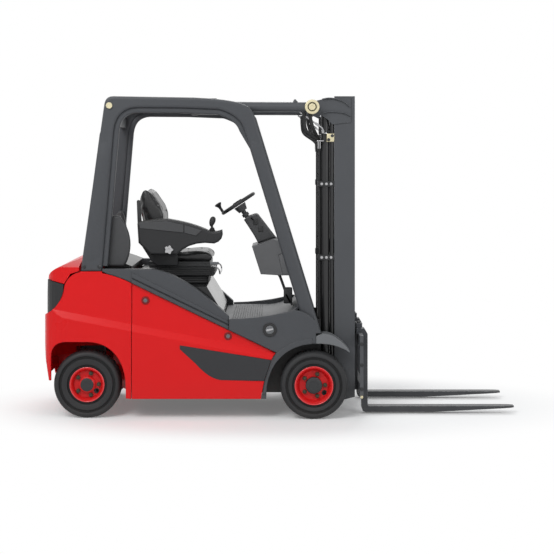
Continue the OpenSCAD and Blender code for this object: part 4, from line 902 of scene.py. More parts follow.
class FORKLIFT_OT_hoses(bpy.types.Operator):
    """Lays the hydraulic hoses up the mast and across to the tilt cylinders"""

    bl_idname = "forklift.hoses"
    bl_label = "Hoses"

    def execute(self, context):
        t = trim()
        lo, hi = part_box("mast_hoses")
        x = lo.x + 0.007
        values = {"Radius": 0.0074, "Pitch": t.hose_pitch, "Rib": 0.05}
        lift_y = abs(lo.y) - 0.016
        runs = [[(x, s * lift_y + o, lo.z), (x, s * lift_y + o, hi.z)] for s in (-1, 1)
                for o in (-0.009, 0.009)]
        me = grown("mast_hose_runs", "hose", runs, "hose_rubber", **values)
        piece("mast_hose_runs", me, "mast_outer", "hose_rubber", replaces=("mast_hoses",))
        tilt_y = abs(mid("tilt_barrel_right").y)
        tilt_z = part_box("tilt_hoses")[1].z
        loop_values = {"Radius": t.hose_r, "Pitch": t.hose_pitch, "Rib": 0.14}
        for side, s in SIDES:
            paths = []
            for o, end_x, low in ((-0.009, 0.166, 1.872), (0.009, 0.208, 1.898)):
                top = (end_x, s * tilt_y, tilt_z - 0.004)
                paths.append(smooth_path([(x, s * lift_y + o, hi.z),
                                          (x - 0.001, s * lift_y + o, hi.z + 0.050),
                                          (x - 0.022, s * (lift_y + 0.030), low),
                                          (end_x + 0.016, s * tilt_y, low + 0.052),
                                          (end_x + 0.001, s * tilt_y, low + 0.110), top]))
            me = grown(f"tilt_hose_{side}", "hose", paths, "hose_rubber", **loop_values)
            fits = [sweep("ferrule", [p[-4], p[-1]], t.hose_r + 0.0018, 14) for p in paths]
            ob = piece(f"tilt_hose_{side}", [me] + fits, "mast_outer", "hose_rubber",
                       replaces=("tilt_hoses",), ride=False)
            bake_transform(ob)
        return {"FINISHED"}


class FORKLIFT_OT_tilt_pins(bpy.types.Operator):
    """Fits the plated caps of the tilt pins, with dark rings down in their grooves as painted shade"""

    bl_idname = "forklift.tilt_pins"
    bl_label = "Tilt pins"

    def execute(self, context):
        pin = mid("tilt_pins")
        reach = abs(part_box("tilt_pins")[0].y)
        prof = [(0.0, -0.0670), (0.0178, -0.0670), (0.0178, -0.0090), (0.0470, -0.0090), (0.0495, -0.0075),
                (0.0495, -0.0030), (0.0470, -0.0005), (0.0335, 0.0012), (0.0315, -0.0004),
                (0.0305, -0.0062), (0.0235, -0.0062), (0.0225, -0.0012), (0.0100, -0.0004),
                (0.0085, -0.0030), (0.0, -0.0030)]
        # Dark rings in the caps' grooves: painted shade in the recess
        groove = [(0.0240, -0.0063), (0.0302, -0.0063), (0.0302, -0.0052), (0.0240, -0.0052)]
        caps, rings = [], []
        for _, s in SIDES:
            at = (pin.x, s * reach, pin.z)
            caps.append(revolve("cap", prof, at, (0, s, 0), 56))
            rings.append(revolve("ring", groove, at, (0, s, 0), 56))
        piece("tilt_pin_caps", caps, "mast_outer", "zinc", replaces=("tilt_pins",))
        piece("tilt_pin_groove_shade", rings, "mast_outer", "nut_olive")
        return {"FINISHED"}


class FORKLIFT_OT_lift_fittings(bpy.types.Operator):
    """Fits the return pipes and the rods' collars to the lift cylinders"""

    bl_idname = "forklift.lift_fittings"
    bl_label = "Lift cylinder fittings"

    def execute(self, context):
        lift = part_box("lift_barrels")
        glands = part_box("lift_glands")
        lift_x = (lift[0].x + lift[1].x) / 2
        lift_y = abs(lift[0].y) - (lift[1].x - lift[0].x) / 2
        pipes, collars = [], []
        for _, s in SIDES:
            run = (lift_x + 0.0445, s * (lift_y + 0.019))
            ends = [(*run, lift[0].z + 0.01), (*run, glands[1].z + 0.085)]
            pipes.append(sweep("pipe", ends, 0.0145, 16))
            collars.append(sweep("collar", [(lift_x, s * lift_y, glands[1].z + 0.004),
                                            (lift_x, s * lift_y, glands[1].z + 0.130)], 0.0265, 28))
        piece("lift_return_pipes", pipes, "mast_outer", "cylinder_black")
        piece("lift_rod_collars", collars, "mast_inner", "cylinder_black")
        return {"FINISHED"}


class FORKLIFT_OT_head_fittings(bpy.types.Operator):
    """Fits the bleed screws, ridges, gland plates, oil pipes and hose shelves at the mast's heads"""

    bl_idname = "forklift.head_fittings"
    bl_label = "Mast head fittings"

    def execute(self, context):
        head_y = abs(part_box("mast_heads")[0].y) - 0.0012
        shelf_y = 0.352
        for side, s in SIDES:
            bleed = revolve("bleed", [(0.0, -0.010), (0.013, -0.010), (0.013, 0.008), (0.009, 0.014),
                                      (0.005, 0.020), (0.0, 0.020)],
                            (0.104, s * abs(mid(f"tilt_barrel_{side}").y), 2.122), (0, 0, 1), 24)
            piece(f"bleed_screw_{side}", bleed, f"tilt_barrel_{side}", "mast_paint")
            ridges = []
            for z0, z1, z2 in ((2.150, 2.149, 2.090), (2.053, 2.062, 2.030)):
                face = s * head_y
                line = smooth_path([(0.288, face, z0 - 0.006), (0.335, face, (z0 + z1) / 2 + 0.002),
                                    (0.385, face, z1 - 0.004), (0.440, face, (z1 + z2) / 2 + 0.004),
                                    (0.480, face, z2)], 6)
                ridges.append(sweep("ridge", line, 0.0042, 10))
            piece(f"head_ridges_{side}", ridges, "mast_outer", "mast_paint")
            y = s * (MAST_HALF + 0.0020)
            plate = block("valve", (0.320, y - 0.0055, 1.855), (0.371, y + 0.0055, 1.910), 0.002, 2)
            screws = bolt_mesh("screws", [((0.333, y + s * 0.0050, 1.868), (0, s, 0)),
                                          ((0.358, y + s * 0.0050, 1.896), (0, s, 0))], "hub_black", 0.9)
            piece(f"gland_plate_{side}", plate, "mast_outer", "zinc")
            piece(f"gland_screws_{side}", screws, "mast_outer", "hub_black")
            on_barrel, on_mast = (0.150, s * 0.388, 2.045), (0.290, s * 0.366, 1.944)
            pipe = smooth_path([(0.136, s * 0.388, 2.056), on_barrel, (0.215, s * 0.385, 1.999),
                                (0.268, s * 0.376, 1.962), on_mast, (0.296, s * 0.360, 1.912)], 6)
            me = sweep("pipe", pipe, 0.0058)
            nuts = [sweep("nut", [pipe[k], pipe[k + 3]], 0.0088, 6) for k in (15, 26)]
            ob = piece(f"oil_pipe_{side}", [me] + nuts, "mast_outer", "pipe_steel",
                       ride=False)
            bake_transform(ob)
            studs = [sweep("stud", [(0.262 + k * 0.013, s * shelf_y, 1.808),
                                    (0.262 + k * 0.013, s * shelf_y, 1.862)],
                           0.0036, 10) for k in (0, 1)]
            plate = block("shelf", (0.252, s * shelf_y - 0.012, 1.857),
                          (0.300, s * shelf_y + 0.012, 1.864), 0.002, 2)
            piece(f"hose_shelf_{side}", studs + [plate], "mast_outer", "bare_steel")
        return {"FINISHED"}


class FORKLIFT_OT_fasteners(bpy.types.Operator):
    """Sets the bolts on the guard, the carriage and the hose clamps"""

    bl_idname = "forklift.fasteners"
    bl_label = "Bolts"

    def execute(self, context):
        rows = {"chassis": [], "carriage": []}
        bright = []
        for _, s in SIDES:
            for x, z in ((-1.316, 1.016), (-1.216, 1.016)):
                rows["chassis"].append(((x + 0.006, s * (HALF_W - 0.0295), z), (0, s, 0)))
            for z in (0.20, 0.36, 0.50):
                rows["carriage"].append(((0.5478, s * 0.5205, z), (0, s, 0)))
            for z in CLAMP_HEIGHTS:
                for x in (0.286, 0.318, 0.350):
                    bright.append(((x, s * (MAST_HALF - 0.0002), z), (0, s, 0)))
        for body, places in rows.items():
            me = bolt_mesh(f"bolts_{body}", places, "hub_black")
            piece(f"bolts_{body}", me, body, "hub_black")
        piece("clamp_bolts", bolt_mesh("clamp_bolts", bright, "bare_steel", 0.75), "mast_outer",
              "bare_steel")
        return {"FINISHED"}


class FORKLIFT_OT_forks(bpy.types.Operator):
    """Adds the fork latches' knobs and the bright stop bolts at the carriage's ends"""

    bl_idname = "forklift.forks"
    bl_label = "Fork fittings"

    def execute(self, context):
        for side, s in SIDES:
            lo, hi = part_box(f"fork_{side}")
            y = (lo.y + hi.y) / 2
            knob = revolve("knob", [(0.0, 0.0), (0.008, 0.0), (0.008, 0.012), (0.013, 0.016),
                                    (0.013, 0.024), (0.009, 0.028), (0.0, 0.028)], (0.541, y, 0.600),
                           (0, 0, 1), 24)
            piece(f"fork_latch_knob_{side}", knob, f"fork_{side}", "hub_black")
            end = abs(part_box("carriage")[0].y)
            stop = bolt_mesh("stop", [((0.548, s * (end - 0.0010), 0.146), (0, s, 0))], "zinc", 0.8)
            piece(f"carriage_stop_{side}", stop, "carriage", "zinc")
        return {"FINISHED"}


# Driver's place


def swell(ob, cap):
    """Blows a closed pad up as cloth and keeps every point within cap of where it started."""
    me = ob.data
    start = np.array([v.co[:] for v in me.vertices], float)
    cloth = ob.modifiers.new("swell", "CLOTH")
    s = cloth.settings
    s.quality = 5
    s.mass = 0.3
    s.tension_stiffness = s.compression_stiffness = 25.0
    s.shear_stiffness = 12.0
    s.bending_stiffness = 4.0
    s.use_pressure = True
    s.uniform_pressure_force = 4.0
    s.effector_weights.gravity = 0.0
    cloth.collision_settings.use_collision = False
    scene = bpy.context.scene
    frames = 20
    for f in range(1, frames + 1):
        scene.frame_set(f)
    graph = bpy.context.evaluated_depsgraph_get()
    new = ob.evaluated_get(graph).to_mesh()
    end = np.array([v.co[:] for v in new.vertices], float)
    move = end - start
    size = np.linalg.norm(move, axis=1, keepdims=True)
    move *= np.minimum(1.0, cap / np.maximum(size, 1e-9))
    ob.evaluated_get(graph).to_mesh_clear()
    ob.modifiers.remove(cloth)
    scene.frame_set(1)
    me.vertices.foreach_set("co", (start + move).ravel())
    me.update()


def remeshed(me, voxel):
    """A mesh made anew out of even small faces."""
    ob = bpy.data.objects.new("pad_cut", me)
    bpy.context.scene.collection.objects.link(ob)
    mod = ob.modifiers.new("voxels", "REMESH")
    mod.mode = "VOXEL"
    mod.voxel_size = voxel
    graph = bpy.context.evaluated_depsgraph_get()
    out = bpy.data.meshes.new_from_object(ob.evaluated_get(graph))
    bpy.data.objects.remove(ob)
    return out


def sew(me, seams, depth, width):
    """Draws the pad in along seams: each is (distance function, side test)."""
    me.update()
    co = np.array([v.co[:] for v in me.vertices], float)
    no = np.array([v.normal[:] for v in me.vertices], float)
    for dist, where in seams:
        d = dist(co)
        pull = depth * np.exp(-(d / width) ** 2) * where(co, no)
        co -= no * pull[:, None]
    me.vertices.foreach_set("co", co.ravel())
    me.update()


def pad(name, outline, half_w, round_by, seams, node, cap):
    """A seat pad cut from a side outline, swollen as cloth, then
    sewn."""
    me = outline_slab(name + "_cut", outline, -half_w, half_w, round_by, 4)
    voxel, seam_depth, seam_width = 0.006, 0.007, 0.006
    me = remeshed(me, voxel)
    ob = bpy.data.objects.new(name, me)
    bpy.context.scene.collection.objects.link(ob)
    swell(ob, cap)
    bpy.context.scene.collection.objects.unlink(ob)
    bpy.data.objects.remove(ob)
    sew(me, seams, seam_depth, seam_width)
    pad_ob = piece(name, me, "hood", "seat_cover", angle=80, replaces=(node,))
    smooth = pad_ob.modifiers.new("fine", "SUBSURF")
    smooth.levels = smooth.render_levels = 1


class FORKLIFT_OT_seat(bpy.types.Operator):
    """Upholsters the seat: a cushion and a backrest, each sewn in channels"""

    bl_idname = "forklift.seat"
    bl_label = "Seat"

    def execute(self, context):
        x = SEAT_X
        cap = trim().pad_cap
        cushion = [(x - 0.176, 1.034), (x - 0.172, 1.080), (x + 0.020, 1.085), (x + 0.110, 1.091),
                   (x + 0.180, 1.089), (x + 0.206, 1.074), (x + 0.212, 1.058), (x + 0.206, 1.040),
                   (x + 0.180, 1.033)]
        inner = 0.150

        def lane(y0):
            return lambda co: np.abs(np.abs(co[:, 1]) - y0)

        def across(axis, at):
            return lambda co: np.abs(co[:, axis] - at)

        def facing(axis, least, half=1.0):
            return lambda co, no: ((no[:, axis] > least) & (np.abs(co[:, 1]) < half)) * 1.0

        top, mid_top = facing(2, 0.3), facing(2, 0.3, inner)
        front, mid_front = facing(0, 0.25), facing(0, 0.25, inner)
        pad("seat_pad", cushion, 0.226, 0.022,
            [(lane(inner), top)] + [(across(0, x + d), mid_top) for d in (0.115, 0.020, -0.075)],
            "seat_cushion", cap)
        back = [(x - 0.206, 1.046), (x - 0.286, 1.400), (x - 0.288, 1.480), (x - 0.274, 1.518),
                (x - 0.256, 1.526), (x - 0.236, 1.516), (x - 0.150, 1.388), (x - 0.136, 1.346),
                (x - 0.140, 1.290), (x - 0.166, 1.200), (x - 0.200, 1.120)]
        pad("back_pad", back, 0.226, 0.024,
            [(lane(inner), front)] + [(across(2, z), mid_front) for z in (1.190, 1.280, 1.370)],
            "seat_back", cap)
        return {"FINISHED"}


class FORKLIFT_OT_seat_hardware(bpy.types.Operator):
    """Fits the seat's bellows, slide rails, side shell, adjusting levers and back bracket"""

    bl_idname = "forklift.seat_hardware"
    bl_label = "Seat hardware"

    def execute(self, context):
        x = SEAT_X
        fold_pitch = 0.0135
        parts = []
        for z, long, wide in ((0.886, 0.300, 0.392), (0.941, 0.386, 0.434)):
            folds = [((x + 0.022, 0.0, z + fold_pitch * k), (0, 0, 1)) for k in range(4)]
            parts.append(grown("bellows", "bellows", folds, "hose_rubber", Length=long, Width=wide,
                               Corner=0.03, Fold=0.0085))
        piece("seat_bellows", parts, "hood", "hose_rubber")
        rails = []
        for y in (-0.2085, 0.2085):
            rails.append(block("rail", (x - 0.225, y - 0.004, 0.996), (x + 0.188, y + 0.004, 1.010),
                               0.0015, 2))
        piece("seat_rails", rails, "hood", "seat_metal")
        shell = outline_slab("shell", [(x - 0.293, 1.166), (x - 0.213, 1.040), (x - 0.173, 1.005),
                                       (x - 0.028, 1.005), (x - 0.028, 1.085)], -0.262, -0.240, 0.006)
        piece("seat_side_shell", shell, "hood", "black_plastic")
        heads = [((x + d, y + math.copysign(0.0042, y), 1.018), (0, math.copysign(1, y), 0))
                 for d in (-0.19, -0.02, 0.15) for y in (-0.205, 0.205)]
        piece("seat_rail_bolts", bolt_mesh("rail_bolts", heads, "hub_black", 0.8), "hood",
              "hub_black")
        wire = smooth_path([(x + 0.150, -0.175, 0.991), (x + 0.222, -0.175, 0.990),
                            (x + 0.250, -0.175, 0.972), (x + 0.256, -0.160, 0.945),
                            (x + 0.256, -0.110, 0.938), (x + 0.256, 0.110, 0.938),
                            (x + 0.256, 0.160, 0.945), (x + 0.250, 0.175, 0.972),
                            (x + 0.222, 0.175, 0.990), (x + 0.150, 0.175, 0.991)], 6)
        piece("seat_slide_lever", sweep("wire", wire, 0.005), "hood", "bare_steel")
        tab = block("tab", (x + 0.190, -0.222, 1.008), (x + 0.252, -0.196, 1.026), 0.005)
        piece("seat_weight_tab", tab, "hood", "light_grey")
        plate = outline_slab("bracket", [(x - 0.262, 1.180), (x - 0.306, 1.290), (x - 0.312, 1.448),
                                         (x - 0.304, 1.456), (x - 0.288, 1.452), (x - 0.276, 1.290),
                                         (x - 0.246, 1.180)],
                             -0.252, -0.2415, 0.003, 2)
        piece("seat_back_bracket", plate, "hood", "seat_metal")
        return {"FINISHED"}


class FORKLIFT_OT_armrest(bpy.types.Operator):
    """Fits the armrest's knob and lids, and the lever's boot and grip"""

    bl_idname = "forklift.armrest"
    bl_label = "Armrest"

    def execute(self, context):
        lo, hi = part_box("armrest")
        face = lo.y
        spot = Vector((-0.755, face, 1.120))
        steps = ((1.0, 0.0), (1.04, 0.003), (1.04, 0.012), (0.96, 0.017), (0.35, 0.017), (0.30, 0.013))
        turns = [2 * math.pi * k / 60 for k in range(60)]
        rings = []
        for scale, h in steps:
            lobes = [((0.0265 + 0.0045 * math.cos(5 * a)) * scale, a) for a in turns]
            rings.append([spot + Vector((r * math.cos(a), -h - 0.0006, r * math.sin(a)))
                          for r, a in lobes])
        piece("armrest_knob", loft("knob", rings), "hood", "bare_steel")
        lids = []
        for cut in (((-0.952, 1.266), (-0.958, 1.296), (-0.946, 1.303), (-0.770, 1.314), (-0.656, 1.289),
                     (-0.656, 1.237)),
                    ((-0.649, 1.235), (-0.649, 1.287), (-0.530, 1.252), (-0.572, 1.216))):
            low = min(z for _, z in cut)
            rise = max(z for _, z in cut) - low
            out = [(x, face - 0.0062 * (1.0 - (z - low) / rise) - 0.0006, z) for x, z in cut]
            back = [(x, face + 0.003, z) for x, z in cut]
            n = len(cut)
            sides = [(k, (k + 1) % n, n + (k + 1) % n, n + k) for k in range(n)]
            lids.append(mesh_of("lid", out + back, [tuple(range(n)),
                                                    tuple(range(2 * n - 1, n - 1, -1))] + sides))
        piece("armrest_lid", lids, "hood", "armrest_top")
        x = SEAT_X + 0.208
        y = (lo.y + hi.y) / 2
        boot = revolve("boot", [(0.0, 0.0), (0.026, 0.0), (0.026, 0.004), (0.021, 0.007), (0.022, 0.011),
                                (0.016, 0.015), (0.017, 0.019), (0.012, 0.024), (0.0125, 0.028),
                                (0.0, 0.028)],
                       (x, y, 1.241), (0.12, 0, 1), 32)
        piece("lever_boot", boot, "hood", "hose_rubber")
        grip = [(0.0205 * math.sin(a) * (1 - 0.18 * math.cos(a)), -0.036 * math.cos(a))
                for a in (math.pi * k / 14 for k in range(15))]
        piece("lever_grip", revolve("grip", grip, (x + 0.002, y, hi.z - 0.021), (0.30, 0, 1), 28), "hood",
              "black_plastic")
        return {"FINISHED"}


class FORKLIFT_OT_steering(bpy.types.Operator):
    """Adds the steering wheel's boss cap and knob, and the column's switches and stalk"""

    bl_idname = "forklift.steering"
    bl_label = "Steering"

    def execute(self, context):
        joint = next(j for j in frame["joints"] if j["name"] == "steering_wheel_turn")
        c, axis = Vector(joint["pos_m"]), Vector(joint["axis"]).normalized()
        cap = revolve("boss", [(0.0, 0.0), (0.036, 0.0), (0.0365, 0.003), (0.030, 0.006), (0.0, 0.007)],
                      c + axis * 0.0122, axis, 40)
        piece("steering_boss", cap, "steering_wheel", "black_plastic")
        slope = math.radians(33)
        lean = Vector((-math.cos(slope), 0, -math.sin(slope)))
        knob_at = c + lean * 0.124 + axis * 0.046
        knob = revolve("spinner", [(0.0, -0.002), (0.011, -0.002), (0.0125, 0.006), (0.019, 0.016),
                                   (0.0245, 0.022), (0.0255, 0.027), (0.0230, 0.032), (0.010, 0.0345),
                                   (0.0, 0.0345)], knob_at, axis, 32)
        piece("steering_knob", knob, "steering_wheel", "black_plastic")
        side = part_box("steering_column")
        keys = []
        for y in (side[0].y, side[1].y):
            for x, z in ((-0.168, 1.296), (-0.132, 1.246)):
                keys.append(block("key", (x - 0.017, y - 0.005, z - 0.021),
                                  (x + 0.017, y + 0.005, z + 0.021), 0.004))
        piece("column_switches", keys, "chassis", "seat_metal")
        stalk = smooth_path([(-0.190, side[0].y + 0.004, 1.312), (-0.196, side[0].y - 0.030, 1.322),
                             (-0.204, side[0].y - 0.075, 1.336)], 6)
        radii = [0.005 + 0.004 * k / (len(stalk) - 1) for k in range(len(stalk))]
        piece("direction_stalk", sweep("stalk", stalk, radii, 14), "chassis", "black_plastic")
        return {"FINISHED"}


# Guard, body and floor


def quarter_bend(a, b, c, n=6):
    """Points of a quadratic curve from a (left out) to c, drawn towards b."""
    out = []
    for k in range(1, n + 1):
        t = k / n
        u = 1 - t
        out.append(tuple(u * u * a[i] + 2 * u * t * b[i] + t * t * c[i] for i in (0, 1)))
    return out


def edge_strip(name, path, depth, y0, y1, round_by):
    """A moulding along an (x, z) path: depth is (from, to) off the path, to the left of its run."""
    mid_d, mid_y = (depth[0] + depth[1]) / 2, (y0 + y1) / 2
    half_d, half_y = (depth[1] - depth[0]) / 2 - round_by, abs(y1 - y0) / 2 - round_by
    section = []
    for q, (sd, sy) in enumerate(((1, 1), (-1, 1), (-1, -1), (1, -1))):
        for k in range(4):
            a = math.pi / 2 * (q + k / 3)
            section.append((mid_d + sd * half_d + round_by * math.cos(a),
                            mid_y + sy * half_y + round_by * math.sin(a)))
    rings = []
    for i, p in enumerate(path):
        before, after = Vector(path[max(i - 1, 0)]), Vector(path[min(i + 1, len(path) - 1)])
        t = (after - before).normalized()
        rings.append([(p[0] - t.y * d, y, p[1] + t.x * d) for d, y in section])
    return loft(name, rings)


def crowned_strip(name, levels, back, edge, crown):
    """A strip up a pillar with a rounded face that fades out at both ends.
    levels are (z, middle x, half width); back, edge and crown are places and a rise along y."""
    across = 12
    last = len(levels) - 1
    rings = []
    for i, (z, x, half) in enumerate(levels):
        rise = crown * min(1.0, i / 2, (last - i) / 2)
        turns = [math.pi * k / across for k in range(across + 1)]
        face = [(x - half * math.cos(a), edge + rise * math.sin(a), z) for a in turns]
        rings.append(face + [(x + half, back, z), (x - half, back, z)])
    return loft(name, rings)


class FORKLIFT_OT_guard_trim(bpy.types.Operator):
    """Fits mouldings, crowned pillar faces and pillar covers to the guard"""

    bl_idname = "forklift.guard_trim"
    bl_label = "Guard trim"

    def execute(self, context):
        fx, rx = FRONT_WHEEL.x, REAR_WHEEL.x
        a_slope = 0.3072  # how far the front pillar leans back for each metre up
        foot, brow = (fx - 0.3980, 1.818), (fx - 0.4701, 1.941)
        roof_front, roof_rear = (fx - 0.640, 2.069), (rx + 0.330, 2.081)
        rear_top, rear_foot = (rx + 0.180, 1.929), (rx + 0.103, 1.020)
        path = [foot, brow] + quarter_bend(brow, (fx - 0.501, 2.031), roof_front, 8)
        path += [(fx - 0.900, 2.079), roof_rear]
        path += quarter_bend(roof_rear, (rx + 0.196, 2.071), rear_top, 8) + [rear_foot]
        for side, s in SIDES:
            me = edge_strip("moulding", path, (-0.006, 0.033), s * 0.438, s * 0.480, 0.009)
            piece(f"guard_moulding_{side}", me, "chassis", "grey_body")
            # Height, middle and half width, up the front and the rear pillar
            front = [(0.60 + 0.09 * k, fx - 0.407 + a_slope * (1.461 - 0.09 * k) - 0.050, 0.045)
                     for k in range(16)]
            rear = [(0.99 + 0.066 * k, rx + 0.028 + 0.0072 * k, 0.066 - 0.0017 * k) for k in range(15)]
            skins = [crowned_strip("crown", line, s * 0.4850, s * 0.4935, s * 0.0135)
                     for line in (front, rear)]
            piece(f"pillar_crowns_{side}", skins, "chassis", "grey_body",
                  angle=60)
        covers = []
        for s, wide in ((-1, 1.0), (1, 0.45)):
            rear, front = rx + 0.078, rx + 0.078 + 0.132 * wide
            line = [(rx + 0.070, 1.012), (rear, 1.300)]
            line += quarter_bend((rear, 1.300), (rear + 0.042 * wide, 1.366), (front, 1.356))
            line += quarter_bend((front, 1.356), (front + 0.126 * wide, 1.190),
                                 (front + 0.034 * wide, 1.012), 12)
            covers.append(outline_slab("cover", line, s * 0.386, s * 0.430, 0.018, 5))
        piece("pillar_cover_shells", covers, "chassis", "armrest_top",
              angle=50, replaces=("pillar_covers",))
        return {"FINISHED"}


class FORKLIFT_OT_dash(bpy.types.Operator):
    """Fits the cheeks of the dash and the pivot of the pedals"""

    bl_idname = "forklift.dash"
    bl_label = "Dash"

    def execute(self, context):
        fx = FRONT_WHEEL.x
        dash_half = abs(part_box("dash_panel")[0].y) - 0.002
        cheek = outline_slab("cheek", [(fx - 0.210, 0.931), (fx - 0.238, 1.073), (fx - 0.186, 1.094),
                                       (fx - 0.140, 0.952), (fx - 0.152, 0.930)], -dash_half, dash_half,
                             0.004, 2)
        piece("dash_cheeks", cheek, "chassis", "dash_grey")
        box = block("pedal_box", (fx - 0.200, -0.185, 0.735), (fx - 0.140, -0.075, 0.840), 0.008)
        pivot = sweep("pivot", [(fx - 0.232, -dash_half, 0.931), (fx - 0.232, dash_half - 0.025, 0.931)],
                      0.009, 16)
        piece("pedal_pivot", [box, pivot], "chassis", "black_plastic")
        return {"FINISHED"}


class FORKLIFT_OT_roof_clips(bpy.types.Operator):
    """Clips the roof slats to the guard's side frames"""

    bl_idname = "forklift.roof_clips"
    bl_label = "Roof clips"

    def execute(self, context):
        roof_lo, roof_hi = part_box("guard_roof")
        clips = []
        slats, clip_y = 8, 0.431
        for k in range(slats):
            x = roof_lo.x + 0.024 + k * (roof_hi.x - roof_lo.x - 0.048) / (slats - 1)
            for _, s in SIDES:
                clips.append(block("clip", (x - 0.018, s * clip_y - 0.009, roof_lo.z + 0.001),
                                   (x + 0.018, s * clip_y + 0.009, roof_hi.z - 0.001), 0.002, 2))
        piece("roof_slat_clips", clips, "chassis", "grey_body")
        return {"FINISHED"}


class FORKLIFT_OT_tail_wall(bpy.types.Operator):
    """Closes the back of the wheel wells with a thin lower wall, clear of the steered wheels"""

    bl_idname = "forklift.tail_wall"
    bl_label = "Tail wall"

    def execute(self, context):
        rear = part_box("counterweight")[0].x

        top, thick = 0.384, 0.008

        def skin(z):
            return rear + 0.027 + 0.029 * (0.401 - z) / 0.156

        walls = []
        for _, s in SIDES:
            for y0, y1, low in ((0.230, 0.476, 0.300), (0.074, 0.231, 0.262)):
                cut = [(skin(top), top), (skin(low), low), (skin(low) + thick, low),
                       (skin(top) + thick, top)]
                walls.append(outline_slab("wall", cut, s * y0, s * y1))
        piece("tail_wall", walls, "chassis", "red_paint")
        return {"FINISHED"}


class FORKLIFT_OT_floor_mat(bpy.types.Operator):
    """Lays the ribs of the mat on the floor plate"""

    bl_idname = "forklift.floor_mat"
    bl_label = "Floor mat"

    def execute(self, context):
        pitch = trim().mat_rib
        mat_z = 0.6605
        x0, x1 = FRONT_WHEEL.x - 0.545, FRONT_WHEEL.x - 0.335
        count = int((x1 - x0) / pitch)
        rows = [((x0 + k * pitch, 0.0, mat_z), (0, 0, 1)) for k in range(count)]
        me = grown("mat_ribs", "ribs", rows, "grey_body", Length=0.80, Radius=0.0032)
        piece("floor_mat_ribs", me, "chassis", "grey_body")
        return {"FINISHED"}


class FORKLIFT_OT_panel_fittings(bpy.types.Operator):
    """Fits the filler caps and the panel locks"""

    bl_idname = "forklift.panel_fittings"
    bl_label = "Panel fittings"

    def execute(self, context):
        parts = []
        for side, s in SIDES:
            c = Vector((FRONT_WHEEL.x - 0.295, s * HALF_W, 0.598))
            dish = [(0.0, -0.001), (0.046, -0.001), (0.0462, 0.0060), (0.0435, 0.0094), (0.0330, 0.0094),
                    (0.0305, 0.0070), (0.0300, 0.0020), (0.0, 0.0020)]
            parts.append(revolve("ring", dish, c, (0, s, 0), 56))
            centre = [(0.0, 0.0016), (0.0290, 0.0016), (0.0290, 0.0036), (0.0270, 0.0048), (0.0, 0.0048)]
            me = revolve("centre", centre, c, (0, s, 0))
            lean = Matrix.Rotation(math.radians(-14), 4, "Y")
            bar = block("grip", (-0.023, -0.0020, -0.0060), (0.023, 0.0020, 0.0060), 0.0014, 2)
            bar.transform(Matrix.Translation(c + Vector((0, s * 0.0062, 0))) @ lean)
            piece(f"filler_centre_{side}", me, "chassis", "light_grey")
            piece(f"filler_grip_{side}", bar, "chassis", "bare_steel")
            locks, seats = [], []
            for x, z in ((REAR_WHEEL.x + 0.393, 0.791), (FRONT_WHEEL.x - 0.574, 0.552)):
                at = Vector((x, s * (HALF_W - 0.0202), z))
                seats.append(revolve("seat", [(0.0, -0.018), (0.026, -0.018), (0.026, 0.0),
                                              (0.024, 0.0008), (0.018, 0.0008), (0.016, -0.0020),
                                              (0.0, -0.0020)], at, (0, s, 0), 40))
                locks.append(revolve("lock", [(0.0, -0.0022), (0.0135, -0.0022), (0.0135, -0.0004),
                                              (0.011, 0.0006), (0.004, 0.0006), (0.0035, -0.0010),
                                              (0.0, -0.0010)], at, (0, s, 0), 32))
            piece(f"panel_locks_{side}", locks, "chassis", "light_grey")
            # The seats' darker red is painted shade
            piece(f"lock_seats_{side}", seats, "chassis", "lock_seat_shade")
        piece("panel_caps", parts, "chassis", "cylinder_black",
              replaces=("body_caps",))
        return {"FINISHED"}


# Stage, panel and start


def backdrop_rays(tree):
    """1 for rays that look at the backdrop, also by reflection, and 0 for those that light."""
    path = add_node(tree, "ShaderNodeLightPath").outputs
    clear = math_node(tree, "ADD", path["Is Camera Ray"], path["Is Transmission Ray"], True)
    return math_node(tree, "ADD", clear, path["Is Glossy Ray"], True)


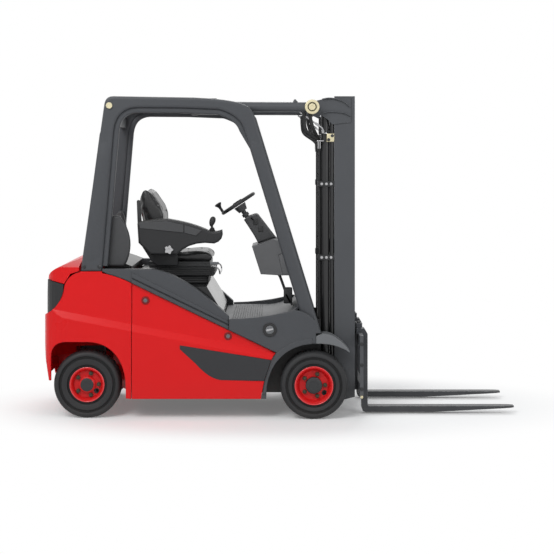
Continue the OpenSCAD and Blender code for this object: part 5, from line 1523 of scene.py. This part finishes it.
class FORKLIFT_OT_stage(bpy.types.Operator):
    """Sets the pale floor with a painted soft shadow round the truck, the soft light and the camera"""

    bl_idname = "forklift.stage"
    bl_label = "Stage"

    def execute(self, context):
        scene = context.scene
        scene.view_settings.view_transform = "Standard"
        me = bpy.data.meshes.new("studio_floor")
        half, z = 60, -0.0006
        me.from_pydata([(-half, -half, z), (half, -half, z), (half, half, z), (-half, half, z)], [],
                       [(0, 1, 2, 3)])
        floor = bpy.data.objects.new("studio_floor", me)
        scene.collection.objects.link(floor)
        mat = bpy.data.materials.new("studio_floor")
        mat.use_nodes = True
        tree = mat.node_tree
        tree.nodes.clear()
        seen = backdrop_rays(tree)
        tone = mix_colour(tree, seen, (0.80, 0.80, 0.80, 1.0), (0.97, 0.97, 0.97, 1.0))
        soft = add_node(tree, "ShaderNodeBsdfDiffuse", {"Color": tone})
        lift = add_node(tree, "ShaderNodeEmission", {"Color": (1.0, 1.0, 1.0, 1.0), "Strength": 1.4})
        white = add_node(tree, "ShaderNodeEmission", {"Color": (1.0, 1.0, 1.0, 1.0), "Strength": 1.0})
        # Painted soft shadow: in an oval round the truck the floor stays lit diffuse, darker than white and with
        # the lamps' real shadow in it, and fades to plain white beyond
        flat = add_node(tree, "ShaderNodeMapping", {"Vector": object_place(tree),
                                                    "Scale": (0.60, 1.0, 0.0)})
        reach = add_node(tree, "ShaderNodeVectorMath", {0: flat.outputs[0]}, operation="LENGTH")
        shadow_fade = add_node(tree, "ShaderNodeMapRange", {"Value": reach.outputs["Value"], "From Min": 0.82,
                                                    "From Max": 1.42},
                       interpolation_type="SMOOTHSTEP")
        # A faint white glow lifts the painted shadow where the camera looks
        shadow_floor = add_node(tree, "ShaderNodeMixShader", {0: times(tree, seen, 0.10), 1: soft.outputs[0],
                                                      2: lift.outputs[0]})
        mixed = add_node(tree, "ShaderNodeMixShader", {0: times(tree, seen, shadow_fade.outputs[0]),
                                                       1: shadow_floor.outputs[0], 2: white.outputs[0]})
        add_node(tree, "ShaderNodeOutputMaterial", {0: mixed.outputs[0]})
        me.materials.append(mat)

        world = bpy.data.worlds.new("studio")
        scene.world = world
        world.use_nodes = True
        tree = world.node_tree
        tree.nodes.clear()
        lit = add_node(tree, "ShaderNodeBackground", {"Color": (0.96, 0.98, 1.0, 1.0), "Strength": 0.44})
        white = add_node(tree, "ShaderNodeBackground", {"Color": (1.0, 1.0, 1.0, 1.0), "Strength": 1.0})
        both = add_node(tree, "ShaderNodeMixShader", {0: backdrop_rays(tree), 1: lit.outputs[0],
                                                      2: white.outputs[0]})
        add_node(tree, "ShaderNodeOutputWorld", {0: both.outputs[0]})

        for name, place, aim, size, power in (
                ("key", (-3.5, -6.0, 6.5), (0, 0, 0.8), 4.0, 350.0),
                ("fill", (5.5, -5.5, 3.5), (0, 0, 0.9), 4.0, 110.0),
                ("back", (0.5, 5.0, 6.0), (0, 0, 1.0), 4.0, 170.0)):
            lamp = bpy.data.lights.new(name, "AREA")
            lamp.energy = power
            lamp.size = size
            ob = bpy.data.objects.new(name, lamp)
            ob.location = place
            ob.rotation_euler = (Vector(aim) - Vector(place)).to_track_quat("-Z", "Y").to_euler()
            scene.collection.objects.link(ob)

        cam = bpy.data.cameras.new("camera")
        cam.sensor_width = 36.0
        cam.lens = 87.73
        cam.shift_y = -0.2166
        cam.clip_end = 200.0
        ob = bpy.data.objects.new("camera", cam)
        ob.location = (-0.0185, -9.54, 1.751)
        ob.rotation_euler = (math.pi / 2, 0.0, 0.0)
        scene.collection.objects.link(ob)
        scene.camera = ob
        return {"FINISHED"}


class FORKLIFT_PT_panel(bpy.types.Panel):
    """Lists the truck's pieces and what can be changed on them"""

    bl_idname = "FORKLIFT_PT_panel"
    bl_label = "Forklift"
    bl_space_type = "VIEW_3D"
    bl_region_type = "UI"
    bl_category = "Forklift"

    def draw(self, context):
        column = self.layout.column(align=True)
        for cls in OPERATORS:
            column.operator(cls.bl_idname, text=cls.bl_label)
        for group in (context.scene.forklift_paint, context.scene.forklift_trim):
            box = self.layout.box()
            for name in group.__annotations__:
                box.prop(group, name)


OPERATORS = (
    FORKLIFT_OT_stage, FORKLIFT_OT_finishes, FORKLIFT_OT_tyres, FORKLIFT_OT_hubs, FORKLIFT_OT_chains,
    FORKLIFT_OT_hoses, FORKLIFT_OT_tilt_pins, FORKLIFT_OT_lift_fittings, FORKLIFT_OT_head_fittings,
    FORKLIFT_OT_fasteners, FORKLIFT_OT_forks, FORKLIFT_OT_seat, FORKLIFT_OT_seat_hardware,
    FORKLIFT_OT_armrest, FORKLIFT_OT_steering, FORKLIFT_OT_guard_trim, FORKLIFT_OT_dash,
    FORKLIFT_OT_roof_clips, FORKLIFT_OT_tail_wall, FORKLIFT_OT_floor_mat, FORKLIFT_OT_panel_fittings)
CLASSES = (ForkliftPaint, ForkliftTrim) + OPERATORS + (FORKLIFT_PT_panel,)


def register():
    """Makes the classes and the panel's values known to Blender."""
    for cls in CLASSES:
        bpy.utils.register_class(cls)
    bpy.types.Scene.forklift_paint = bpy.props.PointerProperty(type=ForkliftPaint)
    bpy.types.Scene.forklift_trim = bpy.props.PointerProperty(type=ForkliftTrim)


def unregister():
    """Takes them out again."""
    del bpy.types.Scene.forklift_trim
    del bpy.types.Scene.forklift_paint
    for cls in reversed(CLASSES):
        bpy.utils.unregister_class(cls)


def main():
    register()
    for cls in OPERATORS:
        family, name = cls.bl_idname.split(".")
        getattr(getattr(bpy.ops, family), name)()


if __name__ == "__main__":
    main()
